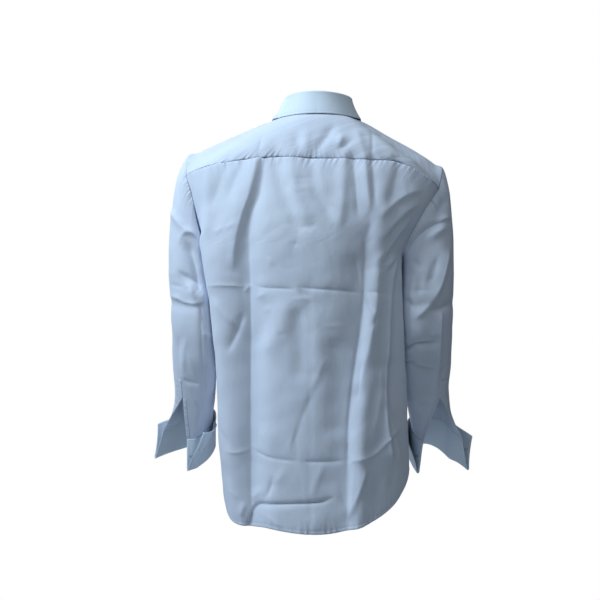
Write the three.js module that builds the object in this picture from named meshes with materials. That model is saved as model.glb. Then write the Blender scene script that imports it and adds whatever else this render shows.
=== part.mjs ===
// Long sleeve dress shirt with double cuffs, in the hollow form that it keeps when worn.
// Millimetres. +X is the wearer's left, +Y the back and +Z up.
// The origin is the middle of the neck opening, at the height of the collar seam.

import * as THREE from 'three';

// Cloth and seams
const CLOTH = 1.2;            // wall of the poplin
const FUSED = 1.4;            // wall of the fused collar and cuffs
const SEAM_GAP = 0.45;        // between two pieces at a seam
const LAY_GAP = 0.3;          // under a piece that lies on another
const SEAM_REACH = 1.3;       // edge points this near to each other share a seam

// Grid of the pieces
const BACK_COLUMNS = 36;
const ARMHOLE_STEPS = 6;      // along each of the three stretches of an armhole
const YOKE_ROWS = 6;
const NECK_STEPS = 5;         // front neck edge, from the yoke to the button band
const BAND_STEPS = 2;         // across the button band
const LOWER_ROWS = 14;        // from the armpit to the hem
const CAP_ROWS = 6;           // sleeve head
const ARM_ROWS = 6;           // sleeve head to the top of the slit
const SLIT_ROWS = 5;          // top of the slit to the cuff

// Body
const ROUNDING = 2 / 2.25;    // power of the rounded sections
const ARMPIT_Z = -265;
const WING = { sideways: 0.94, back: 0.34, fade: 22 };  // the folds behind the arms
const VALLEY_START = 0.25;    // share of the way to the armpit over which the valleys fade in
const LEFT_WING = { turn: 30, width: 15 };              // their places round the body, in degrees
const RIGHT_WING = { turn: 160, width: 13 };

// Neck opening
const NECK = { side: 65, front: 67, middle: -5, height: 14, drop: 62 };
const YOKE_BACK_TURN = 62;    // degrees from centre back to the corner above the armhole
const YOKE_FRONT_TURN = 122;  // and to the front seam of the yoke
const BAND_TURN = 167;        // and to the inner edge of the button band
const END_TURN = 194;         // and to the end of the neck edge, past the centre
const BULGE_TILT = 50;        // how far back the yoke swells at centre back, in degrees

// Button front
const BAND_HALF = 16;         // half the width of the button band
const LIFT = 2.4;             // the left front lies this far over the right one
const LIFT_START = 0.82;      // where the lift starts, as a share of the front
const FRONT_CONTROL = { y: -108, drop: 0.3 };
const ARMHOLE_CONTROL = { inwards: 21, y: -90, drop: 0.57 };
const ARMHOLE_BLEND = { x: 0.3, rest: 0.35 };   // share of a front over which its armhole edge fades in
const DRAPE_START = 0.15;     // share of a front, from the side seam, that has no drapes

// Collar
const STAND = { mean: 30, change: 3, lean: 0.085 };
const LEAF_END_TURN = 175;
const LEAF_SLANT = 27;        // degrees that the front edge moves back on its way down
const LEAF_RISE = 5;
const LEAF_FOLD = 3;          // outer radius of the fold
const LEAF_SLANT_START = 90;  // degrees, where the slant starts
const LEAF_OPENING = 1.25;    // power by which the leaf leaves the stand on its way down

// Sleeves and cuffs
const SLIT_TURN = 22.5;       // place of the slit round the sleeve, in degrees from the back
const APEX_Z = -515;          // height of the sleeve's middle at the top of the slit
const SEAM_Z = -604;          // and at the cuff seam
const HEAD_Z = -290;          // and where the sleeve head ends
const HEAD_CONTROL = { x: 0.92, y: 0.6, drop: 0.1 };
const ARMHOLE_SHIFT = 1.1;     // the sleeve stands this far off the armhole sideways
const CUFF = { depth: 68, fold: 1.7, cover: 6, lean: 3, opening: 1.3 };
const CUFF_FLARE_REACH = 0.3; // share of the cuff's length over which an end opens
const TOWER_ROWS_ABOVE = 1;   // rows of the placket above the top of the slit

// Buttons
const BUTTON = { radius: 5.5, rim: 1.2, thickness: 2.4, dish: 0.7, bevel: 0.6, segments: 14 };
const BUTTON_HEIGHTS = [-122, -213, -304, -395, -486, -577];
const STAND_BUTTON_RISE = 0.45;
const BUTTON_GAP = 0.45;
const BAND_MIDDLE = 1.5;      // the buttons' place across a front
const PROBE = 0.02;           // small step for the direction of a surface

// Reach of the body from the origin, by height, and how far the folds behind the arms stand out.
const BODY = [
  { z: -770, left: 174, right: 180, back: 120, front: 122, leftWing: 0, rightWing: 0 },
  { z: -671, left: 180, right: 180, back: 118, front: 122, leftWing: 6, rightWing: 0 },
  { z: -593, left: 184, right: 178, back: 116, front: 122, leftWing: 11, rightWing: 4 },
  { z: -515, left: 184, right: 168, back: 114, front: 123, leftWing: 16, rightWing: 13 },
  { z: -457, left: 185, right: 162, back: 113, front: 123, leftWing: 21, rightWing: 16 },
  { z: -400, left: 188, right: 159, back: 114, front: 124, leftWing: 26, rightWing: 17 },
  { z: -340, left: 193, right: 158, back: 116, front: 124, leftWing: 27, rightWing: 15 },
  { z: -300, left: 199, right: 160, back: 117.5, front: 123, leftWing: 23, rightWing: 11 },
  { z: -265, left: 207, right: 165, back: 118.5, front: 121, leftWing: 16, rightWing: 6 },
  { z: -235, left: 219, right: 182, back: 119, front: 120, leftWing: 7, rightWing: 2 },
  { z: -200, left: 234, right: 205, back: 118, front: 119, leftWing: 0, rightWing: 0 },
  { z: -150, left: 251, right: 233, back: 113, front: 118, leftWing: 0, rightWing: 0 },
  { z: -100, left: 262, right: 248, back: 104, front: 118, leftWing: 0, rightWing: 0 },
  { z: -60, left: 264, right: 250, back: 92, front: 118, leftWing: 0, rightWing: 0 },
];

// Height of the hem round the body: 0 is the left side, 90 the back, 270 the front.
const HEM = [
  { turn: 0, z: -690 },
  { turn: 25, z: -738 },
  { turn: 40, z: -752 },
  { turn: 60, z: -757 },
  { turn: 90, z: -768 },
  { turn: 110, z: -760 },
  { turn: 125, z: -748 },
  { turn: 140, z: -730 },
  { turn: 155, z: -705 },
  { turn: 180, z: -672 },
  { turn: 225, z: -728 },
  { turn: 270, z: -748 },
  { turn: 315, z: -735 },
  { turn: 360, z: -690 },
];

// Height of the yoke seam across the back, from the left armhole to the right one.
const YOKE_SEAM = [
  { across: 0, z: -101 },
  { across: 0.12, z: -92 },
  { across: 0.25, z: -82 },
  { across: 0.4, z: -75 },
  { across: 0.5, z: -78 },
  { across: 0.65, z: -80 },
  { across: 0.72, z: -82 },
  { across: 0.78, z: -91 },
  { across: 0.86, z: -106 },
  { across: 1, z: -127 },
];

// Distance from the centre to the back armhole edges, from the yoke down to the armpit.
const BACK_ARMHOLE = [
  { down: 0, left: 250, right: 234 },
  { down: 0.33, left: 234, right: 202 },
  { down: 0.67, left: 224, right: 176 },
  { down: 0.85, left: 217, right: 166 },
  { down: 1, left: 207, right: 165 },
];

// Tip of each shoulder and front corner of the yoke.
const SHOULDER = {
  left: { tip: [248, 0, -58], front: [243, -42, -90] },
  right: { tip: [-247, -2, -82], front: [-238, -42, -110] },
};

// How far the yoke swells over the shoulders, by the turn from centre back.
const YOKE_BULGE = [
  { turn: -122, rise: 9 },
  { turn: -90, rise: 11 },
  { turn: -62, rise: 10 },
  { turn: 0, rise: 9 },
  { turn: 62, rise: 7 },
  { turn: 90, rise: 6.5 },
  { turn: 122, rise: 6 },
];

// Lower edge of the collar leaf, out from the stand and down from the fold.
const LEAF = [
  { turn: 0, out: 15, drop: 42 },
  { turn: 60, out: 21, drop: 41 },
  { turn: 90, out: 27, drop: 36 },
  { turn: 105, out: 30, drop: 38 },
  { turn: 125, out: 34, drop: 49 },
  { turn: 150, out: 42, drop: 68 },
  { turn: 176, out: 42, drop: 76 },
];

// The two long valleys down the back: a crease, a narrow wall on its outer side and a crest there.
const VALLEYS = [
  {
    outer: 1, narrow: 15, wide: 26, crest: 0.45, crestAt: 33, crestWidth: 17,
    line: [
      { z: -770, x: 121, depth: 10 },
      { z: -600, x: 123, depth: 15 },
      { z: -400, x: 124, depth: 14 },
      { z: -300, x: 130, depth: 12 },
      { z: -250, x: 134, depth: 9 },
      { z: -194, x: 128, depth: 6 },
      { z: -150, x: 115, depth: 4 },
      { z: -100, x: 98, depth: 2 },
    ],
  },
  {
    outer: -1, narrow: 14, wide: 28, crest: 0.5, crestAt: 25, crestWidth: 16,
    line: [
      { z: -770, x: -52, depth: 8 },
      { z: -706, x: -54, depth: 9 },
      { z: -596, x: -56, depth: 9 },
      { z: -486, x: -69, depth: 9 },
      { z: -329, x: -83, depth: 8 },
      { z: -239, x: -91, depth: 5 },
      { z: -150, x: -98, depth: 2 },
      { z: -100, x: -100, depth: 0 },
    ],
  },
];

// Soft upright drapes down the fronts, by the share of the way from the side to the centre.
const DRAPES = [
  { at: 0.2, width: 0.1, depth: -7 },
  { at: 0.42, width: 0.12, depth: 6 },
  { at: 0.66, width: 0.11, depth: -5 },
];

// Middle, half widths and tilt of each sleeve, from the cuff seam up to the head.
const SLEEVE_LEFT = [
  { z: -604, x: 245, y: -108, wide: 44, deep: 46, tilt: 26 },
  { z: -515, x: 243, y: -62, wide: 42, deep: 50, tilt: 26 },
  { z: -460, x: 243, y: -32, wide: 43, deep: 54, tilt: 21 },
  { z: -400, x: 245, y: -8, wide: 42, deep: 58, tilt: 11 },
  { z: -340, x: 247, y: -2, wide: 42, deep: 62, tilt: 3 },
  { z: -290, x: 249, y: -4, wide: 41, deep: 64, tilt: 0 },
];
const SLEEVE_RIGHT = [
  { z: -604, x: -236, y: -108, wide: 42, deep: 46, tilt: 26 },
  { z: -515, x: -222, y: -62, wide: 46, deep: 49, tilt: 26 },
  { z: -460, x: -218, y: -32, wide: 50, deep: 52, tilt: 21 },
  { z: -400, x: -216, y: -8, wide: 51, deep: 56, tilt: 11 },
  { z: -340, x: -216, y: -4, wide: 52, deep: 60, tilt: 3 },
  { z: -290, x: -216.5, y: -4, wide: 51, deep: 62, tilt: 0 },
];

// Elbow folds: troughs round the sleeve at these heights of its middle.
const SLEEVE_FOLDS = [
  { z: -345, turn: 20, reach: 60, width: 11, depth: 4 },
  { z: -392, turn: 200, reach: 70, width: 12, depth: 6 },
  { z: -428, turn: 250, reach: 60, width: 12, depth: 4 },
];

// Open cuffs, from the outer end round the front and the inner side to the back end:
// outward and back from the sleeve's middle, at the seam and at the fold.
const CUFF_LEFT = [
  { along: 0, topOut: 67, topBack: -12, lowOut: 85, lowBack: -2 },
  { along: 0.16, topOut: 42, topBack: -32, lowOut: 46, lowBack: -26 },
  { along: 0.33, topOut: 8, topBack: -46, lowOut: 10, lowBack: -40 },
  { along: 0.48, topOut: -22, topBack: -38, lowOut: -21, lowBack: -32 },
  { along: 0.63, topOut: -32, topBack: -6, lowOut: -31, lowBack: -4 },
  { along: 0.78, topOut: -26, topBack: 26, lowOut: -21, lowBack: 30 },
  { along: 0.91, topOut: -4, topBack: 40, lowOut: 0, lowBack: 48 },
  { along: 1, topOut: 17, topBack: 36, lowOut: 18, lowBack: 55 },
];
const CUFF_RIGHT = [
  { along: 0, topOut: 63, topBack: 32, lowOut: 71, lowBack: 43 },
  { along: 0.17, topOut: 46, topBack: 2, lowOut: 50, lowBack: 4 },
  { along: 0.31, topOut: 34, topBack: -26, lowOut: 36, lowBack: -26 },
  { along: 0.47, topOut: 2, topBack: -42, lowOut: 2, lowBack: -42 },
  { along: 0.635, topOut: -32, topBack: -28, lowOut: -32, lowBack: -28 },
  { along: 0.763, topOut: -40, topBack: 0, lowOut: -41, lowBack: 0 },
  { along: 0.89, topOut: -36, topBack: 28, lowOut: -38, lowBack: 30 },
  { along: 1, topOut: -26, topBack: 50, lowOut: -32, lowBack: 55 },
];

// How far the turned-back layer opens at the two ends of a cuff, how far its edge slants, and how
// much lower the cuff hangs on its outer side.
const CUFF_ENDS = {
  left: { outer: 12, outerSlant: 0, inner: 20, innerSlant: 36, lower: 0.2 },
  right: { outer: 18, outerSlant: 0, inner: 20, innerSlant: 10, lower: 0 },
};

const CLOTH_COLOUR = 0xdde7f4;
const FUSED_COLOUR = 0xe3ecf8;
const BUTTON_COLOUR = 0xf2f4f6;

// Small maths

const radians = (degrees) => degrees * Math.PI / 180;
const lerp = (from, to, share) => from + (to - from) * share;
const clamp = (value) => Math.min(Math.max(value, 0), 1);
const smooth = (value) => clamp(value) ** 2 * (3 - 2 * clamp(value));
const hump = (distance, width) => Math.exp(-((distance / width) ** 2));
const power = (value, exponent) => Math.sign(value) * Math.abs(value) ** exponent;
const point = (x, y, z) => new THREE.Vector3(x, y, z);
const steps = (count) => Array.from({ length: count + 1 }, (_, i) => i / count);

// Value of one column of a table, on a smooth cubic between the rows. Keys rise down the table.
function read(table, key, column, at) {
  const last = table.length - 1;
  if (at <= table[0][key]) return table[0][column];
  if (at >= table[last][key]) return table[last][column];
  const slope = (row) => {
    const low = table[Math.max(row - 1, 0)];
    const high = table[Math.min(row + 1, last)];
    return (high[column] - low[column]) / (high[key] - low[key]);
  };
  const next = table.findIndex((row) => row[key] > at);
  const from = table[next - 1];
  const to = table[next];
  const span = to[key] - from[key];
  const t = (at - from[key]) / span;
  const start = (2 * t ** 3 - 3 * t ** 2 + 1) * from[column];
  const leave = (t ** 3 - 2 * t ** 2 + t) * span * slope(next - 1);
  const end = (3 * t ** 2 - 2 * t ** 3) * to[column];
  const arrive = (t ** 3 - t ** 2) * span * slope(next);
  return start + leave + end + arrive;
}

// Point of a quadratic Bezier curve.
function bezier(start, control, end, t) {
  const mix = (axis) => (1 - t) ** 2 * start[axis] + 2 * t * (1 - t) * control[axis] + t ** 2 * end[axis];
  return point(mix('x'), mix('y'), mix('z'));
}

// Body sections

function sectionAt(z) {
  const left = read(BODY, 'z', 'left', z);
  const right = read(BODY, 'z', 'right', z);
  return {
    middle: (left - right) / 2,
    half: (left + right) / 2,
    back: read(BODY, 'z', 'back', z),
    front: read(BODY, 'z', 'front', z),
  };
}

// Angle in degrees at which the section passes the given distance from the centre line.
function edgeAngle(z, distance, side) {
  const { middle, half } = sectionAt(z);
  const share = Math.abs(side * distance - middle) / half;
  const angle = Math.acos(Math.min(share, 1) ** (1 / ROUNDING)) * 180 / Math.PI;
  return side > 0 ? angle : 180 - angle;
}

function valleyDepth(x, z) {
  return VALLEYS.reduce((sum, valley) => {
    const depth = read(valley.line, 'z', 'depth', z);
    const away = (x - read(valley.line, 'z', 'x', z)) * valley.outer;
    const trough = hump(away, away > 0 ? valley.narrow : valley.wide);
    const crest = valley.crest * hump(away - valley.crestAt, valley.crestWidth);
    return sum + depth * (crest - trough);
  }, 0);
}

// Back panel: across runs from the left edge to the right one, down from the yoke (0) past the
// armpit (1) to the hem (2).
function backPoint(across, down) {
  const armhole = Math.min(down, 1);
  const edgeZ = (side) => lerp(read(YOKE_SEAM, 'across', 'z', side), ARMPIT_Z, armhole);
  const leftAngle = edgeAngle(edgeZ(0), read(BACK_ARMHOLE, 'down', 'left', armhole), 1);
  const rightAngle = edgeAngle(edgeZ(1), read(BACK_ARMHOLE, 'down', 'right', armhole), -1);
  const turn = lerp(leftAngle, rightAngle, across);
  const seam = read(YOKE_SEAM, 'across', 'z', across);
  const hem = read(HEM, 'turn', 'z', turn);
  const z = down <= 1 ? lerp(seam, ARMPIT_Z, down) : lerp(ARMPIT_Z, hem, down - 1);
  const { middle, half, back } = sectionAt(z);
  const angle = radians(turn);
  const x = middle + half * power(Math.cos(angle), ROUNDING);
  const y = back * power(Math.sin(angle), ROUNDING);
  const inLeft = smooth((turn - leftAngle) / WING.fade);
  const inRight = smooth((rightAngle - turn) / WING.fade);
  const leftWing = read(BODY, 'z', 'leftWing', z) * hump(turn - LEFT_WING.turn, LEFT_WING.width) * inLeft;
  const rightWing = read(BODY, 'z', 'rightWing', z) * hump(turn - RIGHT_WING.turn, RIGHT_WING.width) * inRight;
  const sideways = (leftWing - rightWing) * WING.sideways;
  const backwards = (leftWing + rightWing) * WING.back;
  const out = point(Math.cos(angle) / half, Math.sin(angle) / back, 0).normalize();
  const fold = valleyDepth(x, z) * inLeft * inRight * smooth(down / VALLEY_START);
  return point(x + sideways + out.x * fold, y + backwards + out.y * fold, z);
}

// Neck loop by the turn from centre back, in degrees, + towards the wearer's left.
function neckPoint(turn) {
  const across = Math.sin(radians(turn));
  const back = Math.cos(radians(turn));
  const y = NECK.middle + NECK.front * back;
  return point(NECK.side * across, y, NECK.height - NECK.drop * Math.min(back, 0) ** 2);
}

// Top of an armhole, over the shoulder from the back corner (0) to the front corner (1).
function archPoint(side, over) {
  const shoulder = side > 0 ? SHOULDER.left : SHOULDER.right;
  const start = backPoint(side > 0 ? 0 : 1, 0);
  const tip = point(...shoulder.tip);
  const end = point(...shoulder.front);
  const control = tip.clone().multiplyScalar(2).addScaledVector(start, -0.5).addScaledVector(end, -0.5);
  return bezier(start, control, end, over);
}

// Yoke: ruled from the neck loop (0) to its outer edge (1) and swollen in between.
function yokePoint(turn, out) {
  const side = Math.sign(turn) || 1;
  const beside = Math.abs(turn) > YOKE_BACK_TURN;
  const over = (Math.abs(turn) - YOKE_BACK_TURN) / (YOKE_FRONT_TURN - YOKE_BACK_TURN);
  const across = (1 - turn / YOKE_BACK_TURN) / 2;
  const edge = beside ? archPoint(side, over) : backPoint(across, 0);
  const place = neckPoint(turn).lerp(edge, out);
  const rise = read(YOKE_BULGE, 'turn', 'rise', turn) * (1 - (2 * out - 1) ** 4);
  const tilt = radians(BULGE_TILT) * Math.max(Math.cos(radians(turn)), 0);
  return place.add(point(0, rise * Math.sin(tilt), rise * Math.cos(tilt)));
}

// Front panels: across runs from the side (0) to the button band (1) and over it (2).

const SHOULDER_SHARE = ARMHOLE_STEPS / (ARMHOLE_STEPS + NECK_STEPS);

function frontNeckTurn(across) {
  if (across > 1) return lerp(BAND_TURN, END_TURN, across - 1);
  return lerp(YOKE_FRONT_TURN, BAND_TURN, (across - SHOULDER_SHARE) / (1 - SHOULDER_SHARE));
}

function liftAt(across) {
  return LIFT * smooth((across - LIFT_START) / (1 - LIFT_START));
}

function frontTop(side, across) {
  if (across < SHOULDER_SHARE) return yokePoint(side * YOKE_FRONT_TURN, 1 - across / SHOULDER_SHARE);
  return neckPoint(side * frontNeckTurn(across));
}

// Turn from the side seam towards the centre, with the button band at its full width.
function frontTurn(across, half) {
  const band = Math.asin((BAND_HALF / half) ** (1 / ROUNDING)) * 180 / Math.PI;
  return across <= 1 ? (90 - band) * across : lerp(90 - band, 90 + band, across - 1);
}

function frontSection(side, across, z, drape) {
  const { middle, half, front } = sectionAt(z);
  const angle = radians(frontTurn(across, half));
  const depth = front + drape;
  const x = middle + side * half * power(Math.cos(angle), ROUNDING);
  return point(x, -depth * power(Math.sin(angle), ROUNDING), z);
}

function frontPoint(side, across, down) {
  const lift = point(0, side > 0 ? -liftAt(across) : 0, 0);
  if (down <= 1) {
    const top = frontTop(side, across);
    const low = frontSection(side, across, ARMPIT_Z, 0);
    const plain = { x: (top.x + low.x) / 2, y: FRONT_CONTROL.y, drop: FRONT_CONTROL.drop };
    const edge = { x: (top.x + low.x) / 2, y: ARMHOLE_CONTROL.y, drop: ARMHOLE_CONTROL.drop };
    edge.x -= side * ARMHOLE_CONTROL.inwards * (1 - smooth(across / ARMHOLE_BLEND.x));
    const share = smooth(across / ARMHOLE_BLEND.rest);
    const drop = lerp(edge.drop, plain.drop, share);
    const control = point(
      lerp(edge.x, plain.x, share),
      lerp(edge.y, plain.y, share),
      lerp(top.z, low.z, drop),
    );
    return bezier(top, control, low, down).add(lift);
  }
  const half = sectionAt(ARMPIT_Z).half;
  const turn = frontTurn(across, half);
  const hem = read(HEM, 'turn', 'z', side > 0 ? 360 - turn : 180 + turn);
  const drape = DRAPES.reduce((sum, row) => sum + row.depth * hump(across - row.at, row.width), 0);
  const fade = smooth(down - 1) * smooth(across / DRAPE_START);
  return frontSection(side, across, lerp(ARMPIT_Z, hem, down - 1), drape * fade).add(lift);
}

// Sleeves: turn runs round from the back (0) over the outer side (90), front (180) and armpit (270).

const SLEEVE_TURNS = [
  22.5, 45, 60, 75, 90, 105, 120, 135, 157.5, 180, 202.5, 225, 247.5, 270, 292.5, 315, 337.5, 360, 372, 382.5,
];

function armholePoint(side, turn) {
  if (turn >= 45 && turn <= 135) return archPoint(side, (turn - 45) / 90);
  if (turn > 135 && turn <= 270) return frontPoint(side, 0, (turn - 135) / 135);
  const edge = side > 0 ? 0 : 1;
  const down = (turn > 270 ? 405 - turn : 45 - turn) / 135;
  const step = 1 / ARMHOLE_STEPS;
  const above = Math.floor(down / step + 1e-6) * step;
  const share = clamp((down - above) / step);
  return backPoint(edge, above).lerp(backPoint(edge, Math.min(above + step, 1)), share);
}

function sleeveAxis(side, z) {
  const table = side > 0 ? SLEEVE_LEFT : SLEEVE_RIGHT;
  const value = (column) => read(table, 'z', column, z);
  return { x: value('x'), y: value('y'), z, wide: value('wide'), deep: value('deep'), tilt: value('tilt') };
}

// Place in a section of the sleeve, outward and back from its middle.
function onSleeve(side, axis, out, back) {
  const tilt = radians(axis.tilt);
  return point(axis.x + side * out, axis.y + back * Math.cos(tilt), axis.z - back * Math.sin(tilt));
}

function ringPlace(axis, turn) {
  const sink = SLEEVE_FOLDS.reduce((sum, fold) => {
    const round = Math.abs(((turn - fold.turn + 540) % 360) - 180);
    return sum + fold.depth * hump(axis.z - fold.z, fold.width) * hump(round, fold.reach);
  }, 0);
  const out = (axis.wide - sink) * Math.sin(radians(turn));
  return { out, back: (axis.deep - sink) * Math.cos(radians(turn)) };
}

function cuffEnds(side) {
  return side > 0 ? CUFF_ENDS.left : CUFF_ENDS.right;
}

function cuffPlace(side, along, low) {
  const table = side > 0 ? CUFF_LEFT : CUFF_RIGHT;
  const value = (column) => read(table, 'along', column, along);
  return {
    out: lerp(value('topOut'), value('lowOut'), low),
    back: lerp(value('topBack'), value('lowBack'), low),
  };
}

// Down runs from the armhole (0) over the head's end (1) and the top of the slit (2) to the cuff (3).
function sleevePoint(side, turn, down) {
  const round = (turn - SLIT_TURN) / 360;
  if (down <= 1) {
    const top = armholePoint(side, turn).add(point(side * ARMHOLE_SHIFT, 0, 0));
    const axis = sleeveAxis(side, HEAD_Z);
    const ring = ringPlace(axis, turn);
    const low = onSleeve(side, axis, ring.out, ring.back);
    const control = point(
      lerp(top.x, low.x, HEAD_CONTROL.x),
      lerp(top.y, low.y, HEAD_CONTROL.y),
      lerp(top.z, low.z, HEAD_CONTROL.drop),
    );
    return bezier(top, control, low, down);
  }
  const z = down <= 2 ? lerp(HEAD_Z, APEX_Z, down - 1) : lerp(APEX_Z, SEAM_Z, down - 2);
  const axis = sleeveAxis(side, z);
  const ring = ringPlace(axis, turn);
  if (down <= 2) return onSleeve(side, axis, ring.out, ring.back);
  const cuff = cuffPlace(side, round, 0);
  const share = down - 2;
  const place = onSleeve(side, axis, lerp(ring.out, cuff.out, share), lerp(ring.back, cuff.back, share));
  place.z -= cuffEnds(side).lower * cuff.out * share;
  return place;
}

// Cuff: down its inner layer, round the fold and up the turned-back layer.
function cuffProfile() {
  const { depth, fold, cover } = CUFF;
  const straight = depth - fold;
  const inner = [0, 0.33, 0.67].map((share) => ({ out: 0, down: straight * share, turned: 0 }));
  const bend = [0, 45, 90, 135, 180].map((angle) => ({
    out: fold * (1 - Math.cos(radians(angle))),
    down: straight + fold * Math.sin(radians(angle)),
    turned: 0,
  }));
  const outer = [0.25, 0.5, 0.75, 1].map((share) => ({
    out: 2 * fold,
    down: lerp(straight, -cover, share),
    turned: share,
  }));
  return [...inner, ...bend, ...outer];
}

function cuffPoint(side, along, row) {
  const ends = cuffEnds(side);
  const low = row.down / CUFF.depth;
  const place = cuffPlace(side, along, low);
  const before = cuffPlace(side, Math.max(along - 0.01, 0), low);
  const after = cuffPlace(side, Math.min(along + 0.01, 1), low);
  const tangent = new THREE.Vector2(after.out - before.out, after.back - before.back).normalize();
  const opened = row.turned ** CUFF.opening;
  const atOuter = smooth(1 - along / CUFF_FLARE_REACH) * opened;
  const atInner = smooth(1 - (1 - along) / CUFF_FLARE_REACH) * opened;
  const away = row.out + CUFF.lean * opened + ends.outer * atOuter + ends.inner * atInner;
  const slant = ends.outerSlant * atOuter - ends.innerSlant * atInner;
  const out = place.out - tangent.y * away + tangent.x * slant;
  const back = place.back + tangent.x * away + tangent.y * slant;
  const seam = sleeveAxis(side, SEAM_Z);
  const tilt = radians(seam.tilt);
  const foot = onSleeve(side, seam, out, back);
  const lower = ends.lower * place.out;
  return foot.add(point(0, -row.down * Math.sin(tilt), -row.down * Math.cos(tilt) - lower));
}

// Collar

function collarLift(turn) {
  const share = (turn - YOKE_FRONT_TURN) / (BAND_TURN - YOKE_FRONT_TURN);
  return liftAt(lerp(SHOULDER_SHARE, 1, share));
}

// Stand: up from the neck seam (0) to its top edge (1), leaning in.
function standPoint(turn, up) {
  const foot = neckPoint(turn);
  const narrower = 1 - STAND.lean * up;
  const height = STAND.mean + STAND.change * Math.cos(radians(turn));
  const y = NECK.middle + (foot.y - NECK.middle) * narrower - collarLift(turn);
  return point(foot.x * narrower, y, foot.z + height * up);
}

// Leaf: outer face of the turned-down collar, from the top of the stand over the fold.
function leafProfile() {
  const rise = [SEAM_GAP, LEAF_RISE].map((up) => ({ out: -FUSED, up, fall: 0 }));
  const bend = [45, 90, 135, 180].map((angle) => ({
    out: LEAF_FOLD - FUSED - LEAF_FOLD * Math.cos(radians(angle)),
    up: LEAF_RISE + LEAF_FOLD * Math.sin(radians(angle)),
    fall: 0,
  }));
  const fall = [0.3, 0.65, 1].map((share) => ({ out: 2 * LEAF_FOLD - FUSED, up: LEAF_RISE, fall: share }));
  return [...rise, ...bend, ...fall];
}

// Top edge of the stand, straight between its last columns as the wall itself is.
function standTop(turn) {
  const middle = (BAND_TURN + END_TURN) / 2;
  const share = (Math.abs(turn) - BAND_TURN) / (middle - BAND_TURN);
  if (share <= 0) return standPoint(turn, 1);
  const side = Math.sign(turn);
  return standPoint(side * BAND_TURN, 1).lerp(standPoint(side * middle, 1), share);
}

function leafPoint(turn, row) {
  const slanting = smooth((Math.abs(turn) - LEAF_SLANT_START) / (LEAF_END_TURN - LEAF_SLANT_START));
  const here = turn - Math.sign(turn) * LEAF_SLANT * slanting * row.fall;
  const size = Math.abs(here);
  const out = lerp(row.out, read(LEAF, 'turn', 'out', size), row.fall ** LEAF_OPENING);
  const top = standTop(here);
  const drop = read(LEAF, 'turn', 'drop', size) * row.fall;
  const across = Math.sin(radians(here));
  const back = Math.cos(radians(here));
  return point(top.x + out * across, top.y + out * back, top.z + row.up - drop);
}

// Sheets: an outer surface of points and faces, which a wall is made from

function indexGrid(rows, columns, weldedRows) {
  let next = 0;
  return Array.from({ length: rows }, (_, row) => {
    const line = Array.from({ length: columns }, () => next++);
    if (row < weldedRows) {
      next -= 1;
      line[columns - 1] = line[0];
    }
    return line;
  });
}

// Moves the edge points that lie in a seam in by half of the gap.
function inset(grid, sides) {
  const moved = grid.map((line) => line.map((place) => place.clone()));
  const pull = (row, column, towards) => {
    const way = towards.clone().sub(grid[row][column]).normalize();
    moved[row][column].addScaledVector(way, SEAM_GAP / 2);
  };
  const last = grid.length - 1;
  const end = grid[0].length - 1;
  grid[0].forEach((_, column) => {
    if (sides.includes('top')) pull(0, column, grid[1][column]);
    if (sides.includes('bottom')) pull(last, column, grid[last - 1][column]);
  });
  grid.forEach((line, row) => {
    if (sides.includes('start')) pull(row, 0, line[1]);
    if (sides.includes('end')) pull(row, end, line[end - 1]);
  });
  return moved;
}

function sheet(name, family, grid, options = {}) {
  const { flip = false, thickness = CLOTH, colour = CLOTH_COLOUR, weldedRows = 0 } = options;
  const index = indexGrid(grid.length, grid[0].length, weldedRows);
  const points = [];
  index.forEach((line, row) => line.forEach((id, column) => {
    points[id] = grid[row][column];
  }));
  const faces = [];
  for (let row = 0; row < index.length - 1; row += 1) {
    for (let column = 0; column < index[row].length - 1; column += 1) {
      const a = index[row][column];
      const b = index[row + 1][column];
      const c = index[row + 1][column + 1];
      const d = index[row][column + 1];
      if (flip) faces.push([a, d, c], [a, c, b]);
      else faces.push([a, b, c], [a, c, d]);
    }
  }
  return { name, family, index, points, faces, flip, thickness, colour, normals: faceNormals(points, faces) };
}

function faceNormals(points, faces) {
  const normals = points.map(() => point(0, 0, 0));
  for (const [a, b, c] of faces) {
    const edge = points[b].clone().sub(points[a]);
    const normal = edge.cross(points[c].clone().sub(points[a]));
    for (const id of [a, b, c]) normals[id].add(normal);
  }
  return normals.map((normal) => normal.normalize());
}

function edgesOf(faces) {
  const used = new Set(faces.flatMap(([a, b, c]) => [`${a}_${b}`, `${b}_${c}`, `${c}_${a}`]));
  return [...used]
    .map((edge) => edge.split('_').map(Number))
    .filter(([a, b]) => !used.has(`${b}_${a}`));
}

// Gives edge points that share a seam one common direction, so that their walls meet in a mitre.
function shareNormals(sheets) {
  const edges = sheets.filter((piece) => piece.family).flatMap((piece) => {
    const ids = new Set(edgesOf(piece.faces).flat());
    return [...ids].map((id) => ({ piece, id, place: piece.points[id], normal: piece.normals[id] }));
  });
  const shared = edges.map((one) => {
    const near = edges.filter((other) => other.place.distanceTo(one.place) < SEAM_REACH);
    const families = [...new Set(near.map((other) => other.piece.family))];
    const sum = point(0, 0, 0);
    for (const family of families) {
      const own = point(0, 0, 0);
      near.filter((other) => other.piece.family === family).forEach((other) => own.add(other.normal));
      sum.add(own.normalize());
    }
    return sum.normalize();
  });
  edges.forEach((one, i) => {
    one.piece.normals[one.id] = shared[i];
  });
}

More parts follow.
